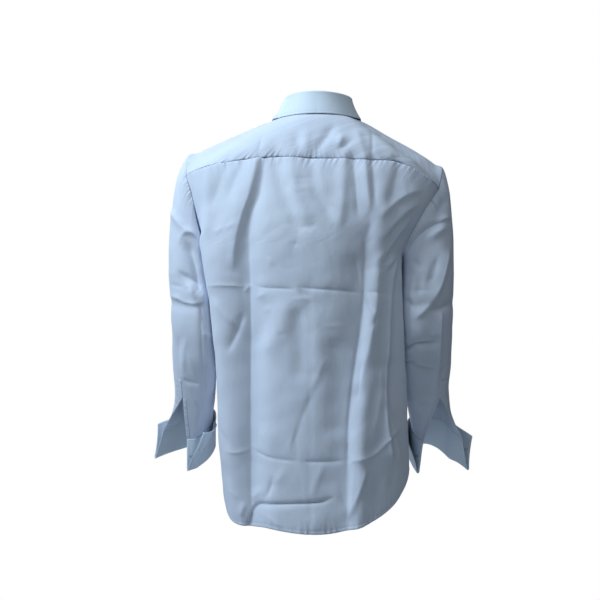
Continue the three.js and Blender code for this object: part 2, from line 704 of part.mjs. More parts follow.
// A closed wall: the outer face, the inner face and the edges between them.
function wallGeometry(outer, inner, faces) {
  const count = outer.length;
  const position = new Float32Array([...outer, ...inner].flatMap((place) => [place.x, place.y, place.z]));
  const triangles = [];
  for (const [a, b, c] of faces) triangles.push(a, b, c, c + count, b + count, a + count);
  for (const [a, b] of edgesOf(faces)) triangles.push(b, a, a + count, b, a + count, b + count);
  const geometry = new THREE.BufferGeometry();
  geometry.setAttribute('position', new THREE.BufferAttribute(position, 3));
  geometry.setIndex(triangles);
  geometry.computeVertexNormals();
  return geometry;
}

function clothMaterial(colour) {
  return new THREE.MeshStandardMaterial({ color: colour, roughness: 0.85, metalness: 0 });
}

function named(name, geometry, material) {
  const mesh = new THREE.Mesh(geometry, material);
  mesh.name = name;
  return mesh;
}

function wallMesh(piece) {
  const inner = piece.points.map((place, id) => (
    place.clone().addScaledVector(piece.normals[id], -piece.thickness)
  ));
  return named(piece.name, wallGeometry(piece.points, inner, piece.faces), clothMaterial(piece.colour));
}

// A strip that lies on a sheet: the sheet's own points over some rows and columns, moved out.
function stripMesh(name, base, rows, columns, thickness = CLOTH) {
  const ids = rows.map((row) => columns.map((column) => base.index[row][column]));
  const grid = ids.map((line) => line.map((id) => base.points[id]));
  const strip = sheet(name, null, grid, { flip: base.flip });
  const normals = ids.flat().map((id) => base.normals[id]);
  const inner = strip.points.map((place, i) => place.clone().addScaledVector(normals[i], LAY_GAP));
  const outer = inner.map((place, i) => place.clone().addScaledVector(normals[i], thickness));
  return named(name, wallGeometry(outer, inner, strip.faces), clothMaterial(CLOTH_COLOUR));
}

// Pieces

function backSheet() {
  const downs = [...steps(ARMHOLE_STEPS), ...steps(LOWER_ROWS).slice(1).map((share) => 1 + share)];
  const grid = downs.map((down) => steps(BACK_COLUMNS).map((across) => backPoint(across, down)));
  return sheet('back', 'body', inset(grid, ['top', 'start', 'end']));
}

function yokeTurns() {
  const beside = steps(ARMHOLE_STEPS).map((share) => lerp(YOKE_BACK_TURN, YOKE_FRONT_TURN, share));
  const across = steps(BACK_COLUMNS).map((share) => lerp(YOKE_BACK_TURN, -YOKE_BACK_TURN, share));
  return [...beside.toReversed().slice(0, -1), ...across, ...beside.slice(1).map((turn) => -turn)];
}

function yokeSheet() {
  const grid = steps(YOKE_ROWS).map((out) => yokeTurns().map((turn) => yokePoint(turn, out)));
  return sheet('yoke', 'body', inset(grid, ['top', 'bottom', 'start', 'end']));
}

function frontSheet(name, side) {
  const main = steps(ARMHOLE_STEPS + NECK_STEPS);
  const acrosses = [...main, ...steps(BAND_STEPS).slice(1).map((share) => 1 + share)];
  const downs = [...steps(ARMHOLE_STEPS), ...steps(LOWER_ROWS).slice(1).map((share) => 1 + share)];
  const grid = downs.map((down) => acrosses.map((across) => frontPoint(side, across, down)));
  return sheet(name, 'body', inset(grid, ['top', 'start']), { flip: side > 0 });
}

function sleeveSheet(name, side) {
  const downs = [
    ...steps(CAP_ROWS),
    ...steps(ARM_ROWS).slice(1).map((share) => 1 + share),
    ...steps(SLIT_ROWS).slice(1).map((share) => 2 + share),
  ];
  const grid = downs.map((down) => SLEEVE_TURNS.map((turn) => sleevePoint(side, turn, down)));
  const options = { flip: side > 0, weldedRows: CAP_ROWS + ARM_ROWS + 1 };
  return sheet(name, name, inset(grid, ['top', 'bottom']), options);
}

function cuffSheet(name, side) {
  const rounds = SLEEVE_TURNS.map((turn) => (turn - SLIT_TURN) / 360);
  const grid = cuffProfile().map((row) => rounds.map((along) => cuffPoint(side, along, row)));
  const options = { flip: side > 0, thickness: FUSED, colour: FUSED_COLOUR };
  return sheet(name, name, inset(grid, ['top']), options);
}

function collarTurns() {
  const half = [
    ...steps(BACK_COLUMNS / 4).map((share) => YOKE_BACK_TURN * share),
    ...steps(ARMHOLE_STEPS).slice(1).map((share) => lerp(YOKE_BACK_TURN, YOKE_FRONT_TURN, share)),
    ...steps(NECK_STEPS).slice(1).map((share) => lerp(YOKE_FRONT_TURN, BAND_TURN, share)),
    ...steps(BAND_STEPS).slice(1).map((share) => lerp(BAND_TURN, END_TURN, share)),
  ];
  return [...half.toReversed().slice(0, -1), ...half.map((turn) => -turn)];
}

function standSheet() {
  const grid = [1, 0.5, 0].map((up) => collarTurns().map((turn) => standPoint(turn, up)));
  const options = { thickness: FUSED, colour: FUSED_COLOUR };
  return sheet('collar_stand', 'collar', inset(grid, ['bottom']), options);
}

function leafSheet() {
  const inside = collarTurns().filter((turn) => Math.abs(turn) < LEAF_END_TURN);
  const turns = [LEAF_END_TURN, ...inside, -LEAF_END_TURN];
  const grid = leafProfile().map((row) => turns.map((turn) => leafPoint(turn, row)));
  return sheet('collar_leaf', null, grid, { thickness: FUSED, colour: FUSED_COLOUR });
}

// A flat round button with a raised rim, its foot on the XZ plane and its face towards +Y.
function buttonGeometry() {
  const { radius, rim, thickness, dish, bevel, segments } = BUTTON;
  const profile = [
    [0, 0],
    [radius - bevel, 0],
    [radius, bevel],
    [radius, thickness - bevel],
    [radius - bevel, thickness],
    [radius - rim, thickness],
    [radius - rim - bevel, thickness - dish],
    [0, thickness - dish],
  ];
  return new THREE.LatheGeometry(profile.map(([x, y]) => new THREE.Vector2(x, y)), segments);
}

function buttonMesh(name, place, normal) {
  const mesh = named(name, buttonGeometry(), new THREE.MeshStandardMaterial({
    color: BUTTON_COLOUR,
    roughness: 0.35,
    metalness: 0,
  }));
  mesh.position.copy(place);
  mesh.quaternion.setFromUnitVectors(point(0, 1, 0), normal);
  return mesh;
}

// Outward direction of a surface at a place, from two small steps across it.
function outwardAt(surface, across, down) {
  const place = surface(across, down);
  const right = surface(across + PROBE, down).sub(place);
  const below = surface(across, down + PROBE).sub(place);
  return right.cross(below).normalize();
}

function bandPlace(height) {
  let high = 0;
  let low = 2;
  for (let i = 0; i < 30; i += 1) {
    const middle = (high + low) / 2;
    if (frontPoint(1, BAND_MIDDLE, middle).z > height) high = middle;
    else low = middle;
  }
  return low;
}

function frontButtons() {
  const surface = (across, down) => frontPoint(1, across, down);
  const out = LAY_GAP + CLOTH + BUTTON_GAP;
  return BUTTON_HEIGHTS.map((height, i) => {
    const down = bandPlace(height);
    const normal = outwardAt(surface, BAND_MIDDLE, down);
    return buttonMesh(`button_${i + 2}`, surface(BAND_MIDDLE, down).addScaledVector(normal, out), normal);
  });
}

function standButton() {
  const surface = (across, down) => standPoint(180 + across * BAND_TURN, STAND_BUTTON_RISE - down);
  const normal = outwardAt(surface, 0, 0);
  return buttonMesh('button_1', surface(0, 0).addScaledVector(normal, BUTTON_GAP), normal);
}

// The whole garment

const back = backSheet();
const yoke = yokeSheet();
const frontLeft = frontSheet('front_left', 1);
const frontRight = frontSheet('front_right', -1);
const stand = standSheet();
const leaf = leafSheet();
const sleeves = [sleeveSheet('sleeve_left', 1), sleeveSheet('sleeve_right', -1)];
const cuffs = [cuffSheet('cuff_left', 1), cuffSheet('cuff_right', -1)];
const sheets = [back, yoke, frontLeft, frontRight, stand, leaf, ...sleeves, ...cuffs];
shareNormals(sheets);

const garment = new THREE.Group();
sheets.forEach((piece) => garment.add(wallMesh(piece)));

const allFrontRows = frontLeft.index.map((_, row) => row);
const bandColumns = steps(BAND_STEPS).map((share) => ARMHOLE_STEPS + NECK_STEPS + share * BAND_STEPS);
garment.add(stripMesh('placket_band', frontLeft, allFrontRows, bandColumns));

const slitRow = CAP_ROWS + ARM_ROWS;
const lastColumn = SLEEVE_TURNS.length - 1;
sleeves.forEach((sleeve) => {
  const side = sleeve.name.replace('sleeve_', '');
  const rows = sleeve.index.map((_, row) => row);
  const tower = rows.filter((row) => row >= slitRow - TOWER_ROWS_ABOVE);
  const below = rows.filter((row) => row > slitRow);
  const bindingColumns = [lastColumn - 1, lastColumn];
  garment.add(stripMesh(`sleeve_placket_${side}`, sleeve, tower, [0, 1]));
  garment.add(stripMesh(`sleeve_binding_${side}`, sleeve, below, bindingColumns));
});

garment.add(standButton(), ...frontButtons());

export default garment;
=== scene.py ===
"""Long sleeve dress shirt with folded double cuffs, in the hollow form that it keeps when worn.

Sizes and places are in millimetres until a mesh is made, where they become metres.
+X is the wearer's left, +Y the back and +Z up. A cloth is a grid of points worked out with numpy:
rows run down or outwards from the first edge, columns run round the body or the arm.
"""

import math

import bpy
import numpy as np
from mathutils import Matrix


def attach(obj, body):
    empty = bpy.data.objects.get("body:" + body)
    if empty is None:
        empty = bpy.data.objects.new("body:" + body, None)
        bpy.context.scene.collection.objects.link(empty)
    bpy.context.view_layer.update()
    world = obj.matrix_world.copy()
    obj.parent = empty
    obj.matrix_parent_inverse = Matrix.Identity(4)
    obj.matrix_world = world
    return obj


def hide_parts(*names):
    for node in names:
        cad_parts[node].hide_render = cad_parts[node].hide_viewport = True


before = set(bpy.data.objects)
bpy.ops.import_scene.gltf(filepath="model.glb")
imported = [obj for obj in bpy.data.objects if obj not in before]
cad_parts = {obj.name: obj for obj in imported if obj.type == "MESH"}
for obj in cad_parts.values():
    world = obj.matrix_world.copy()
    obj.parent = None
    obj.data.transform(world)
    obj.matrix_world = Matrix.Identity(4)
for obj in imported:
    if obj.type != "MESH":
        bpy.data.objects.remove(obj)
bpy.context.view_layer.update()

MM = 0.001


# Small maths

def table(names, *rows):
    """Columns of a small table by name, each as an array."""
    return {name: np.array(column, float) for name, column in zip(names.split(), zip(*rows))}


def read(rows, key, column, at):
    """Cubic through the rows of a table; at each row its slope is the mean slope to its neighbours."""
    keys, values = rows[key], rows[column]
    at = np.clip(at, keys[0], keys[-1])
    place = np.arange(len(keys))
    before, after = np.maximum(place - 1, 0), np.minimum(place + 1, len(keys) - 1)
    slope = (values[after] - values[before]) / (keys[after] - keys[before])
    row = np.clip(np.searchsorted(keys, at, side="right") - 1, 0, len(keys) - 2)
    span = keys[row + 1] - keys[row]
    t = (at - keys[row]) / span
    start = (2 * t**3 - 3 * t**2 + 1) * values[row] + (t**3 - 2 * t**2 + t) * span * slope[row]
    end = (3 * t**2 - 2 * t**3) * values[row + 1] + (t**3 - t**2) * span * slope[row + 1]
    return start + end


def lerp(start, end, share):
    return start + (end - start) * share


def smooth(value):
    """0 to 1 with level ends."""
    value = np.clip(value, 0, 1)
    return value**2 * (3 - 2 * value)


def hump(distance, width):
    """Bell of height 1."""
    return np.exp(-((distance / width) ** 2))


def power(value, exponent):
    return np.sign(value) * np.abs(value) ** exponent


def stack(x, y, z):
    return np.stack(np.broadcast_arrays(x, y, z), axis=-1).astype(float)


def bezier(start, control, end, t):
    """Quadratic curve from start to end, drawn towards the control point."""
    t = np.asarray(t, float)[..., None]
    return (1 - t) ** 2 * start + 2 * t * (1 - t) * control + t**2 * end


def unit(vectors):
    return vectors / np.maximum(np.linalg.norm(vectors, axis=-1, keepdims=True), 1e-12)


def spaced(length, step, near_start=(), near_end=()):
    """Shares from 0 to 1 along a length: even steps, and extra ones at these distances from its ends."""
    even = np.linspace(0, 1, round(length / step) + 1)
    extra = np.concatenate([np.array(near_start, float) / length, 1 - np.array(near_end, float) / length])
    inner = even[1:-1]
    if len(extra):
        clear = np.abs(inner[:, None] - extra[None]).min(axis=1) > 0.4 * step / length
        inner = inner[clear]
    return np.unique(np.concatenate([[0.0], inner, extra, [1.0]]))


# Cut and form of the shirt

ROUNDING = 2 / 2.25            # power of the rounded sections
ARMPIT_Z = -265.0
WING_SIDEWAYS, WING_BACK, WING_FADE = 0.94, 0.34, 22.0
LEFT_WING_TURN, LEFT_WING_WIDTH = 30.0, 15.0
RIGHT_WING_TURN, RIGHT_WING_WIDTH = 160.0, 13.0

NECK_SIDE, NECK_FRONT, NECK_MIDDLE, NECK_HEIGHT, NECK_DROP = 65.0, 67.0, -5.0, 14.0, 62.0
YOKE_BACK_TURN = 62.0          # degrees from centre back to the corner above the armhole
YOKE_FRONT_TURN = 122.0        # and to the front seam of the yoke
BAND_TURN = 167.0              # and to the inner edge of the button band
END_TURN = 194.0               # and to the end of the neck edge, past the centre
BULGE_TILT = 50.0

BAND_HALF = 16.0               # half the width of the button band
LIFT, LIFT_START = 2.4, 0.82   # the left front lies this far over the right one
SHOULDER_SHARE = 6 / 11        # share of a front's top edge that is the yoke seam
FRONT_CONTROL_Y, FRONT_CONTROL_DROP = -108.0, 0.3
ARMHOLE_CONTROL_Y, ARMHOLE_CONTROL_DROP, ARMHOLE_CONTROL_IN = -90.0, 0.57, -21.0

STAND_MEAN, STAND_CHANGE, STAND_LEAN = 30.0, 3.0, 0.085
LEAF_END_TURN, LEAF_SLANT, LEAF_SLANT_START = 175.0, 27.0, 90.0
LEAF_RISE, LEAF_FOLD, LEAF_WALL, LEAF_FALL, LEAF_FOOT, LEAF_CURVE = 5.0, 3.0, 1.4, 50.0, 0.3, 1.25

SLIT_TURN = 22.5               # place of the sleeve slit, in degrees from the back
HEAD_Z, APEX_Z, SEAM_Z = -290.0, -515.0, -604.0
HEAD_CONTROL_X, HEAD_CONTROL_Y, HEAD_CONTROL_DROP = 0.92, 0.6, 0.1
ARMHOLE_SHIFT = 0.2
CUFF_DEPTH, CUFF_FOLD, CUFF_COVER, CUFF_LEAN = 68.0, 1.7, 6.0, 3.0
CUFF_FLARE_REACH, CUFF_OPENING, CUFF_SAG_PLACE, CUFF_SAG_WIDTH = 0.3, 1.3, 0.26, 0.11
SLEEVE_ROUNDING = 0.72

# Reach of the body from the origin by height, and how far the folds behind the arms stand out.
BODY = table(
    "z left right back front left_wing right_wing",
    (-770, 174, 180, 120, 122, 0, 0),
    (-671, 184, 180, 118, 122, 6, 0),
    (-593, 189, 177, 116, 122, 12, 4),
    (-515, 187, 168, 114, 123, 17, 13),
    (-457, 185, 162, 113, 123, 21, 16),
    (-400, 188, 159, 114, 124, 26, 17),
    (-340, 193, 158, 116, 124, 27, 15),
    (-300, 199, 160, 117.5, 123, 30, 11),
    (-265, 207, 165, 118.5, 121, 29, 6),
    (-235, 219, 182, 119, 120, 23, 2),
    (-200, 234, 205, 118, 119, 13, 0),
    (-150, 251, 233, 113, 118, 0, 0),
    (-100, 262, 248, 104, 118, 0, 0),
    (-60, 264, 250, 92, 118, 0, 0),
)
# Height of the hem round the body: 0 is the left side, 90 the back, 270 the front.
HEM = table(
    "turn z",
    (0, -692), (25, -748), (40, -761), (60, -760), (90, -768), (110, -758), (125, -743),
    (140, -723), (155, -698), (180, -668), (225, -728), (270, -748), (315, -735), (360, -692),
)
# Height of the yoke seam across the back, from the left armhole to the right one.
YOKE_SEAM = table(
    "across z",
    (0, -101), (0.12, -92), (0.25, -82), (0.4, -75), (0.5, -78),
    (0.65, -80), (0.72, -82), (0.78, -91), (0.86, -106), (1, -127),
)
# Distance from the centre to the back armhole edges, from the yoke down to the armpit.
BACK_ARMHOLE = table(
    "down left right",
    (0, 250, 234), (0.33, 234, 202), (0.67, 224, 176), (0.85, 217, 166), (1, 207, 165),
)
SHOULDER_LEFT = {"tip": (248, 0, -58), "front": (243, -42, -90)}
SHOULDER_RIGHT = {"tip": (-247, -2, -82), "front": (-238, -42, -110)}
# How far the yoke swells over the shoulders, by the turn from centre back.
YOKE_BULGE = table(
    "turn rise",
    (-122, 9), (-90, 11), (-62, 10), (0, 9), (62, 7), (90, 6.5), (122, 6),
)
# Lower edge of the collar leaf, out from the stand and down from the fold.
LEAF = table(
    "turn out drop",
    (0, 15, 42), (60, 21, 41), (90, 27, 36), (105, 30, 38), (125, 34, 49), (150, 42, 68), (176, 42, 76),
)
# The two long valleys down the back: a crease, a narrow wall on its outer side and a crest there.
VALLEYS = [
    {
        "outer": 1, "narrow": 15, "wide": 26, "crest": 0.45, "crest_at": 33, "crest_width": 17,
        "line": table(
            "z x depth",
            (-770, 121, 10), (-600, 123, 15), (-400, 124, 14), (-300, 130, 12),
            (-250, 134, 9), (-194, 128, 6), (-150, 115, 4), (-100, 98, 2),
        ),
    },
    {
        "outer": -1, "narrow": 11, "wide": 46, "crest": 0.9, "crest_at": 24, "crest_width": 15,
        "line": table(
            "z x depth",
            (-770, -52, 6), (-706, -54, 6.5), (-596, -56, 7), (-486, -69, 6.5),
            (-329, -85, 6), (-239, -91, 4), (-150, -98, 2), (-100, -100, 0),
        ),
    },
]
# Soft upright drapes down the fronts, by the share of the way from the side to the centre.
DRAPES = table("at width depth", (0.2, 0.1, -7), (0.42, 0.12, 6), (0.66, 0.11, -5))
# Middle, half widths and tilt of each sleeve, from the cuff seam up to the head, and how far its
# inner side stands further back.
SLEEVES = {
    1: table(
        "z x y wide deep tilt shear",
        (-604, 245, -108, 44, 46, 26, 0.25), (-515, 243, -62, 42, 50, 26, 0.3),
         (-460, 241, -32, 45, 54, 21, 0.4),
        (-400, 241.5, -8, 43, 58, 11, 0.5), (-340, 243, -2, 42, 62, 3, 0.5),
         (-290, 247, -4, 41, 64, 0, 0.25),
    ),
    -1: table(
        "z x y wide deep tilt shear",
        (-604, -236, -108, 42, 46, 26, 0.25), (-515, -222, -62, 46, 49, 26, 0.25),
        (-460, -218, -32, 50, 52, 21, 0.3), (-400, -216, -8, 51, 56, 11, 0.35),
        (-340, -216, -4, 52, 60, 3, 0.35), (-290, -216.5, -4, 51, 62, 0, 0.15),
    ),
}
# Elbow folds: troughs round the sleeve at these heights of its middle.
SLEEVE_FOLDS = table(
    "z turn reach width depth",
    (-345, 20, 60, 11, 4), (-392, 170, 60, 12, 6), (-428, 180, 50, 12, 4),
)
# Open cuffs, from the outer end round the front and the inner side to the back end.
CUFFS = {
    1: table(
        "along top_out top_back low_out low_back",
        (0, 71, -12, 91, -2), (0.16, 43, -32, 48, -26), (0.33, 8, -46, 10, -40),
         (0.48, -22, -38, -21, -32),
        (0.63, -32, -6, -31, -4), (0.78, -26, 26, -21, 30), (0.91, -4, 40, 0, 48), (1, 17, 36, 18, 55),
    ),
    -1: table(
        "along top_out top_back low_out low_back",
        (0, 63, 32, 77, 43), (0.17, 46, 2, 53, 4), (0.31, 34, -26, 37, -26), (0.47, 2, -42, 2, -42),
        (0.635, -32, -28, -31, -28), (0.763, -38, 0, -37, 0), (0.89, -32, 28, -32, 30),
         (1, -20, 50, -25, 55),
    ),
}
CUFF_ENDS = {
    1: {
        "outer": 20, "outer_rise": -4, "inner": 20, "inner_slant": 46, "inner_rise": 30, "lower": 0.17,
        "inner_lift": 0.5, "short": 0.12, "inner_short": 0.08, "sag": 0,
    },
    -1: {
        "outer": 19, "outer_rise": -9, "inner": 24, "inner_slant": 12, "inner_rise": 0, "lower": 0.05,
        "inner_lift": -0.05, "short": -0.03, "inner_short": -0.05, "sag": 11,
    },
}


# Body

def section(z):
    """Middle, half width, back and front reach of the body at a height."""
    left, right, back, front = (read(BODY, "z", name, z) for name in ("left", "right", "back", "front"))
    return (left - right) / 2, (left + right) / 2, back, front


def edge_angle(z, distance, side):
    """Angle in degrees at which the section passes the given distance from the centre line."""
    middle, half, _, _ = section(z)
    share = np.minimum(np.abs(side * distance - middle) / half, 1)
    angle = np.degrees(np.arccos(share ** (1 / ROUNDING)))
    return angle if side > 0 else 180 - angle


def valley_push(x, z):
    """Sum over the valleys of a crest bell minus a trough bell that is narrower on its outer side."""
    total = 0
    for valley in VALLEYS:
        depth = read(valley["line"], "z", "depth", z)
        away = (x - read(valley["line"], "z", "x", z)) * valley["outer"]
        trough = hump(away, np.where(away > 0, valley["narrow"], valley["wide"]))
        crest = valley["crest"] * hump(away - valley["crest_at"], valley["crest_width"])
        total = total + depth * (crest - trough)
    return total


def back_surface(across, down):
    """Rounded section, x and y being powers of cosine and sine, between the armhole edges; across runs
    from the left edge to the right one, down from the yoke (0) past the armpit (1) to the hem (2)."""
    across, down = np.broadcast_arrays(np.asarray(across, float), np.asarray(down, float))
    armhole = np.minimum(down, 1)
    left_z = lerp(read(YOKE_SEAM, "across", "z", 0.0), ARMPIT_Z, armhole)
    right_z = lerp(read(YOKE_SEAM, "across", "z", 1.0), ARMPIT_Z, armhole)
    left_angle = edge_angle(left_z, read(BACK_ARMHOLE, "down", "left", armhole), 1)
    right_angle = edge_angle(right_z, read(BACK_ARMHOLE, "down", "right", armhole), -1)
    even = lerp(left_angle, right_angle, across)
    at_left, at_right = smooth((0.3 - across) / 0.3), smooth((across - 0.7) / 0.3)
    steady = 180 * across + left_angle * at_left + (right_angle - 180) * at_right
    turn = lerp(even, steady, smooth((down - 0.3) / 0.5))
    upper = lerp(read(YOKE_SEAM, "across", "z", across), ARMPIT_Z, armhole)
    lower = lerp(ARMPIT_Z, read(HEM, "turn", "z", turn), down - 1)
    z = np.where(down <= 1, upper, lower)
    middle, half, back, _ = section(z)
    angle = np.radians(turn)
    x = middle + half * power(np.cos(angle), ROUNDING)
    y = back * power(np.sin(angle), ROUNDING)
    in_left = smooth((turn - left_angle) / WING_FADE)
    in_right = smooth((right_angle - turn) / WING_FADE)
    left_wing = read(BODY, "z", "left_wing", z) * hump(turn - LEFT_WING_TURN, LEFT_WING_WIDTH) * in_left
    right_wing = read(BODY, "z", "right_wing", z) * hump(turn - RIGHT_WING_TURN, RIGHT_WING_WIDTH) * in_right
    out = unit(stack(np.cos(angle) / half, np.sin(angle) / back, 0))
    fold = valley_push(x, z) * in_left * in_right * smooth(down * 4)
    sideways = (left_wing - right_wing) * WING_SIDEWAYS
    backwards = (left_wing + right_wing) * WING_BACK
    return stack(x + sideways + out[..., 0] * fold, y + backwards + out[..., 1] * fold, z)


def neck_loop(turn):
    """Ellipse round the neck that drops at the front, by the turn from centre back."""
    angle = np.radians(turn)
    across, back = np.sin(angle), np.cos(angle)
    height = NECK_HEIGHT - NECK_DROP * np.minimum(back, 0) ** 2
    return stack(NECK_SIDE * across, NECK_MIDDLE + NECK_FRONT * back, height)


def arch(side, over):
    """Curve over the shoulder through its tip, from the back corner (0) to the front corner (1)."""
    shoulder = SHOULDER_LEFT if side > 0 else SHOULDER_RIGHT
    start = back_surface(0.0 if side > 0 else 1.0, 0.0)
    tip, end = np.array(shoulder["tip"], float), np.array(shoulder["front"], float)
    return bezier(start, 2 * tip - start / 2 - end / 2, end, over)


def yoke_surface(turn, out):
    """Straight from the neck loop (0) to the outer edge (1), swollen by one minus a fourth power."""
    turn, out = np.broadcast_arrays(np.asarray(turn, float), np.asarray(out, float))
    over = np.clip((np.abs(turn) - YOKE_BACK_TURN) / (YOKE_FRONT_TURN - YOKE_BACK_TURN), 0, 1)
    across = np.clip((1 - turn / YOKE_BACK_TURN) / 2, 0, 1)
    beside = (np.abs(turn) > YOKE_BACK_TURN)[..., None]
    arches = np.where((turn > 0)[..., None], arch(1, over), arch(-1, over))
    edge = np.where(beside, arches, back_surface(across, 0.0))
    place = lerp(neck_loop(turn), edge, out[..., None])
    rise = read(YOKE_BULGE, "turn", "rise", turn) * (1 - (2 * out - 1) ** 4)
    tilt = np.radians(BULGE_TILT) * np.maximum(np.cos(np.radians(turn)), 0)
    return place + stack(0, rise * np.sin(tilt), rise * np.cos(tilt))


def lift_at(across):
    return LIFT * smooth((across - LIFT_START) / (1 - LIFT_START))


def front_neck_turn(across):
    """Turn along the neck edge of a front: up to the button band, and over it past share 1."""
    before = lerp(YOKE_FRONT_TURN, BAND_TURN, (across - SHOULDER_SHARE) / (1 - SHOULDER_SHARE))
    return np.where(across > 1, lerp(BAND_TURN, END_TURN, across - 1), before)


def front_turn(across, half):
    """Degrees from the side seam towards the centre, the button band at its full width."""
    band = np.degrees(np.arcsin((BAND_HALF / half) ** (1 / ROUNDING)))
    return np.where(across <= 1, (90 - band) * across, lerp(90 - band, 90 + band, across - 1))


def front_section(side, across, z, drape):
    middle, half, _, front = section(z)
    angle = np.radians(front_turn(across, half))
    x = middle + side * half * power(np.cos(angle), ROUNDING)
    return stack(x, -(front + drape) * power(np.sin(angle), ROUNDING), z)


def front_surface(side, across, down):
    """Curve from the shoulder or neck edge to the chest (1), then rounded sections to the hem (2);
    across runs from the side (0) to the button band (1) and over it (2)."""
    across, down = np.broadcast_arrays(np.asarray(across, float), np.asarray(down, float))
    shoulder = yoke_surface(side * YOKE_FRONT_TURN, 1 - np.clip(across / SHOULDER_SHARE, 0, 1))
    neck = neck_loop(side * front_neck_turn(across))
    top = np.where((across < SHOULDER_SHARE)[..., None], shoulder, neck)
    low = front_section(side, across, ARMPIT_Z, 0)
    share = smooth(across / 0.35)
    middle = (top[..., 0] + low[..., 0]) / 2
    edge_x = middle + side * ARMHOLE_CONTROL_IN * (1 - smooth(across / 0.3))
    drop = lerp(ARMHOLE_CONTROL_DROP, FRONT_CONTROL_DROP, share)
    control = stack(
        lerp(edge_x, middle, share),
        lerp(ARMHOLE_CONTROL_Y, FRONT_CONTROL_Y, share),
        lerp(top[..., 2], low[..., 2], drop),
    )
    upper = bezier(top, control, low, np.minimum(down, 1))
    turn = front_turn(across, section(ARMPIT_Z)[1])
    hem = read(HEM, "turn", "z", 360 - turn if side > 0 else 180 + turn)
    drape = sum(depth * hump(across - at, width) for at, width, depth in zip(*DRAPES.values()))
    fade = smooth(down - 1) * smooth(across / 0.15)
    z = np.where(down <= 1, ARMPIT_Z, lerp(ARMPIT_Z, hem, down - 1))
    lower = front_section(side, across, z, drape * fade)
    place = np.where((down <= 1)[..., None], upper, lower)
    if side > 0:
        place = place - stack(0, lift_at(across), 0)
    return place


# Sleeves and cuffs

def armhole_edge(side, turn):
    """Closed edge round the armhole: over the arch, down the front and back up the back panel."""
    turn = np.asarray(turn, float)
    over = arch(side, np.clip((turn - 45) / 90, 0, 1))
    front = front_surface(side, 0.0, np.clip((turn - 135) / 135, 0, 1))
    rise = np.clip(np.where(turn > 270, 405 - turn, 45 - turn) / 135, 0, 1)
    back = back_surface(0.0 if side > 0 else 1.0, rise)
    on_arch = ((turn >= 45) & (turn <= 135))[..., None]
    on_front = ((turn > 135) & (turn <= 270))[..., None]
    return np.where(on_arch, over, np.where(on_front, front, back))


def sleeve_axis(side, z):
    rows = SLEEVES[side]
    columns = ("x", "y", "wide", "deep", "tilt", "shear")
    return {name: read(rows, "z", name, z) for name in columns} | {"z": z}


def on_sleeve(side, axis, out, back):
    """Place in a tilted section of the sleeve, outward and back from its middle."""
    tilt = np.radians(axis["tilt"])
    return stack(axis["x"] + side * out, axis["y"] + back * np.cos(tilt), axis["z"] - back * np.sin(tilt))


def sleeve_ring(axis, turn):
    """Outward and back reach on a squarish oval that sinks at the elbow folds and is sheared so that
    its inner side stands further back."""
    sink = 0
    for z, fold_turn, reach, width, depth in zip(*SLEEVE_FOLDS.values()):
        away = np.abs((turn - fold_turn + 540) % 360 - 180)
        sink = sink + depth * hump(axis["z"] - z, width) * hump(away, reach)
    angle = np.radians(turn)
    out, back = power(np.sin(angle), SLEEVE_ROUNDING), power(np.cos(angle), SLEEVE_ROUNDING)
    out, back = (axis["wide"] - sink) * out, (axis["deep"] - sink) * back
    return out, back - axis["shear"] * out


def cuff_fall(side, out):
    """How much lower the cuff hangs, growing outwards from its middle and rising on its inner side."""
    ends = CUFF_ENDS[side]
    return ends["lower"] * np.maximum(out, 0) + ends["inner_lift"] * np.minimum(out, 0)


def cuff_place(side, along, low):
    rows = CUFFS[side]
    out = lerp(read(rows, "along", "top_out", along), read(rows, "along", "low_out", along), low)
    back = lerp(read(rows, "along", "top_back", along), read(rows, "along", "low_back", along), low)
    return out, back


def sleeve_surface(side, turn, down):
    """Curve from the armhole to the sleeve head's end (1), rings to the top of the slit (2), and from
    there a blend from the ring to the open top of the cuff (3)."""
    turn, down = np.broadcast_arrays(np.asarray(turn, float), np.asarray(down, float))
    top = armhole_edge(side, turn) + stack(side * ARMHOLE_SHIFT, 0, 0)
    head = sleeve_axis(side, np.full(turn.shape, HEAD_Z))
    low = on_sleeve(side, head, *sleeve_ring(head, turn))
    control = lerp(top, low, np.array([HEAD_CONTROL_X, HEAD_CONTROL_Y, HEAD_CONTROL_DROP]))
    cap = bezier(top, control, low, np.clip(down, 0, 1))
    z = np.where(down <= 2, lerp(HEAD_Z, APEX_Z, down - 1), lerp(APEX_Z, SEAM_Z, down - 2))
    axis = sleeve_axis(side, np.minimum(z, HEAD_Z))
    ring_out, ring_back = sleeve_ring(axis, turn)
    cuff_out, cuff_back = cuff_place(side, (turn - SLIT_TURN) / 360, 0.0)
    share = np.clip(down - 2, 0, 1)
    arm = on_sleeve(side, axis, lerp(ring_out, cuff_out, share), lerp(ring_back, cuff_back, share))
    arm[..., 2] -= cuff_fall(side, cuff_out) * share
    return np.where((down <= 1)[..., None], cap, arm)


def cuff_profile(step):
    """Out, down and opened share of the cuff's rows: down the inner layer, half a circle round the
    fold and up the turned-back layer."""
    straight = CUFF_DEPTH - CUFF_FOLD
    inner = np.linspace(0, straight, round(straight / step) + 1)[:-1]
    bend = np.radians(np.linspace(0, 180, 9))
    turned = np.linspace(0, 1, round((straight + CUFF_COVER) / step) + 1)[1:]
    out = np.concatenate([0 * inner, CUFF_FOLD * (1 - np.cos(bend)), 0 * turned + 2 * CUFF_FOLD])
    down = np.concatenate([inner, straight + CUFF_FOLD * np.sin(bend), lerp(straight, -CUFF_COVER, turned)])
    opened = np.concatenate([0 * inner, 0 * bend, turned])
    return out, down, opened


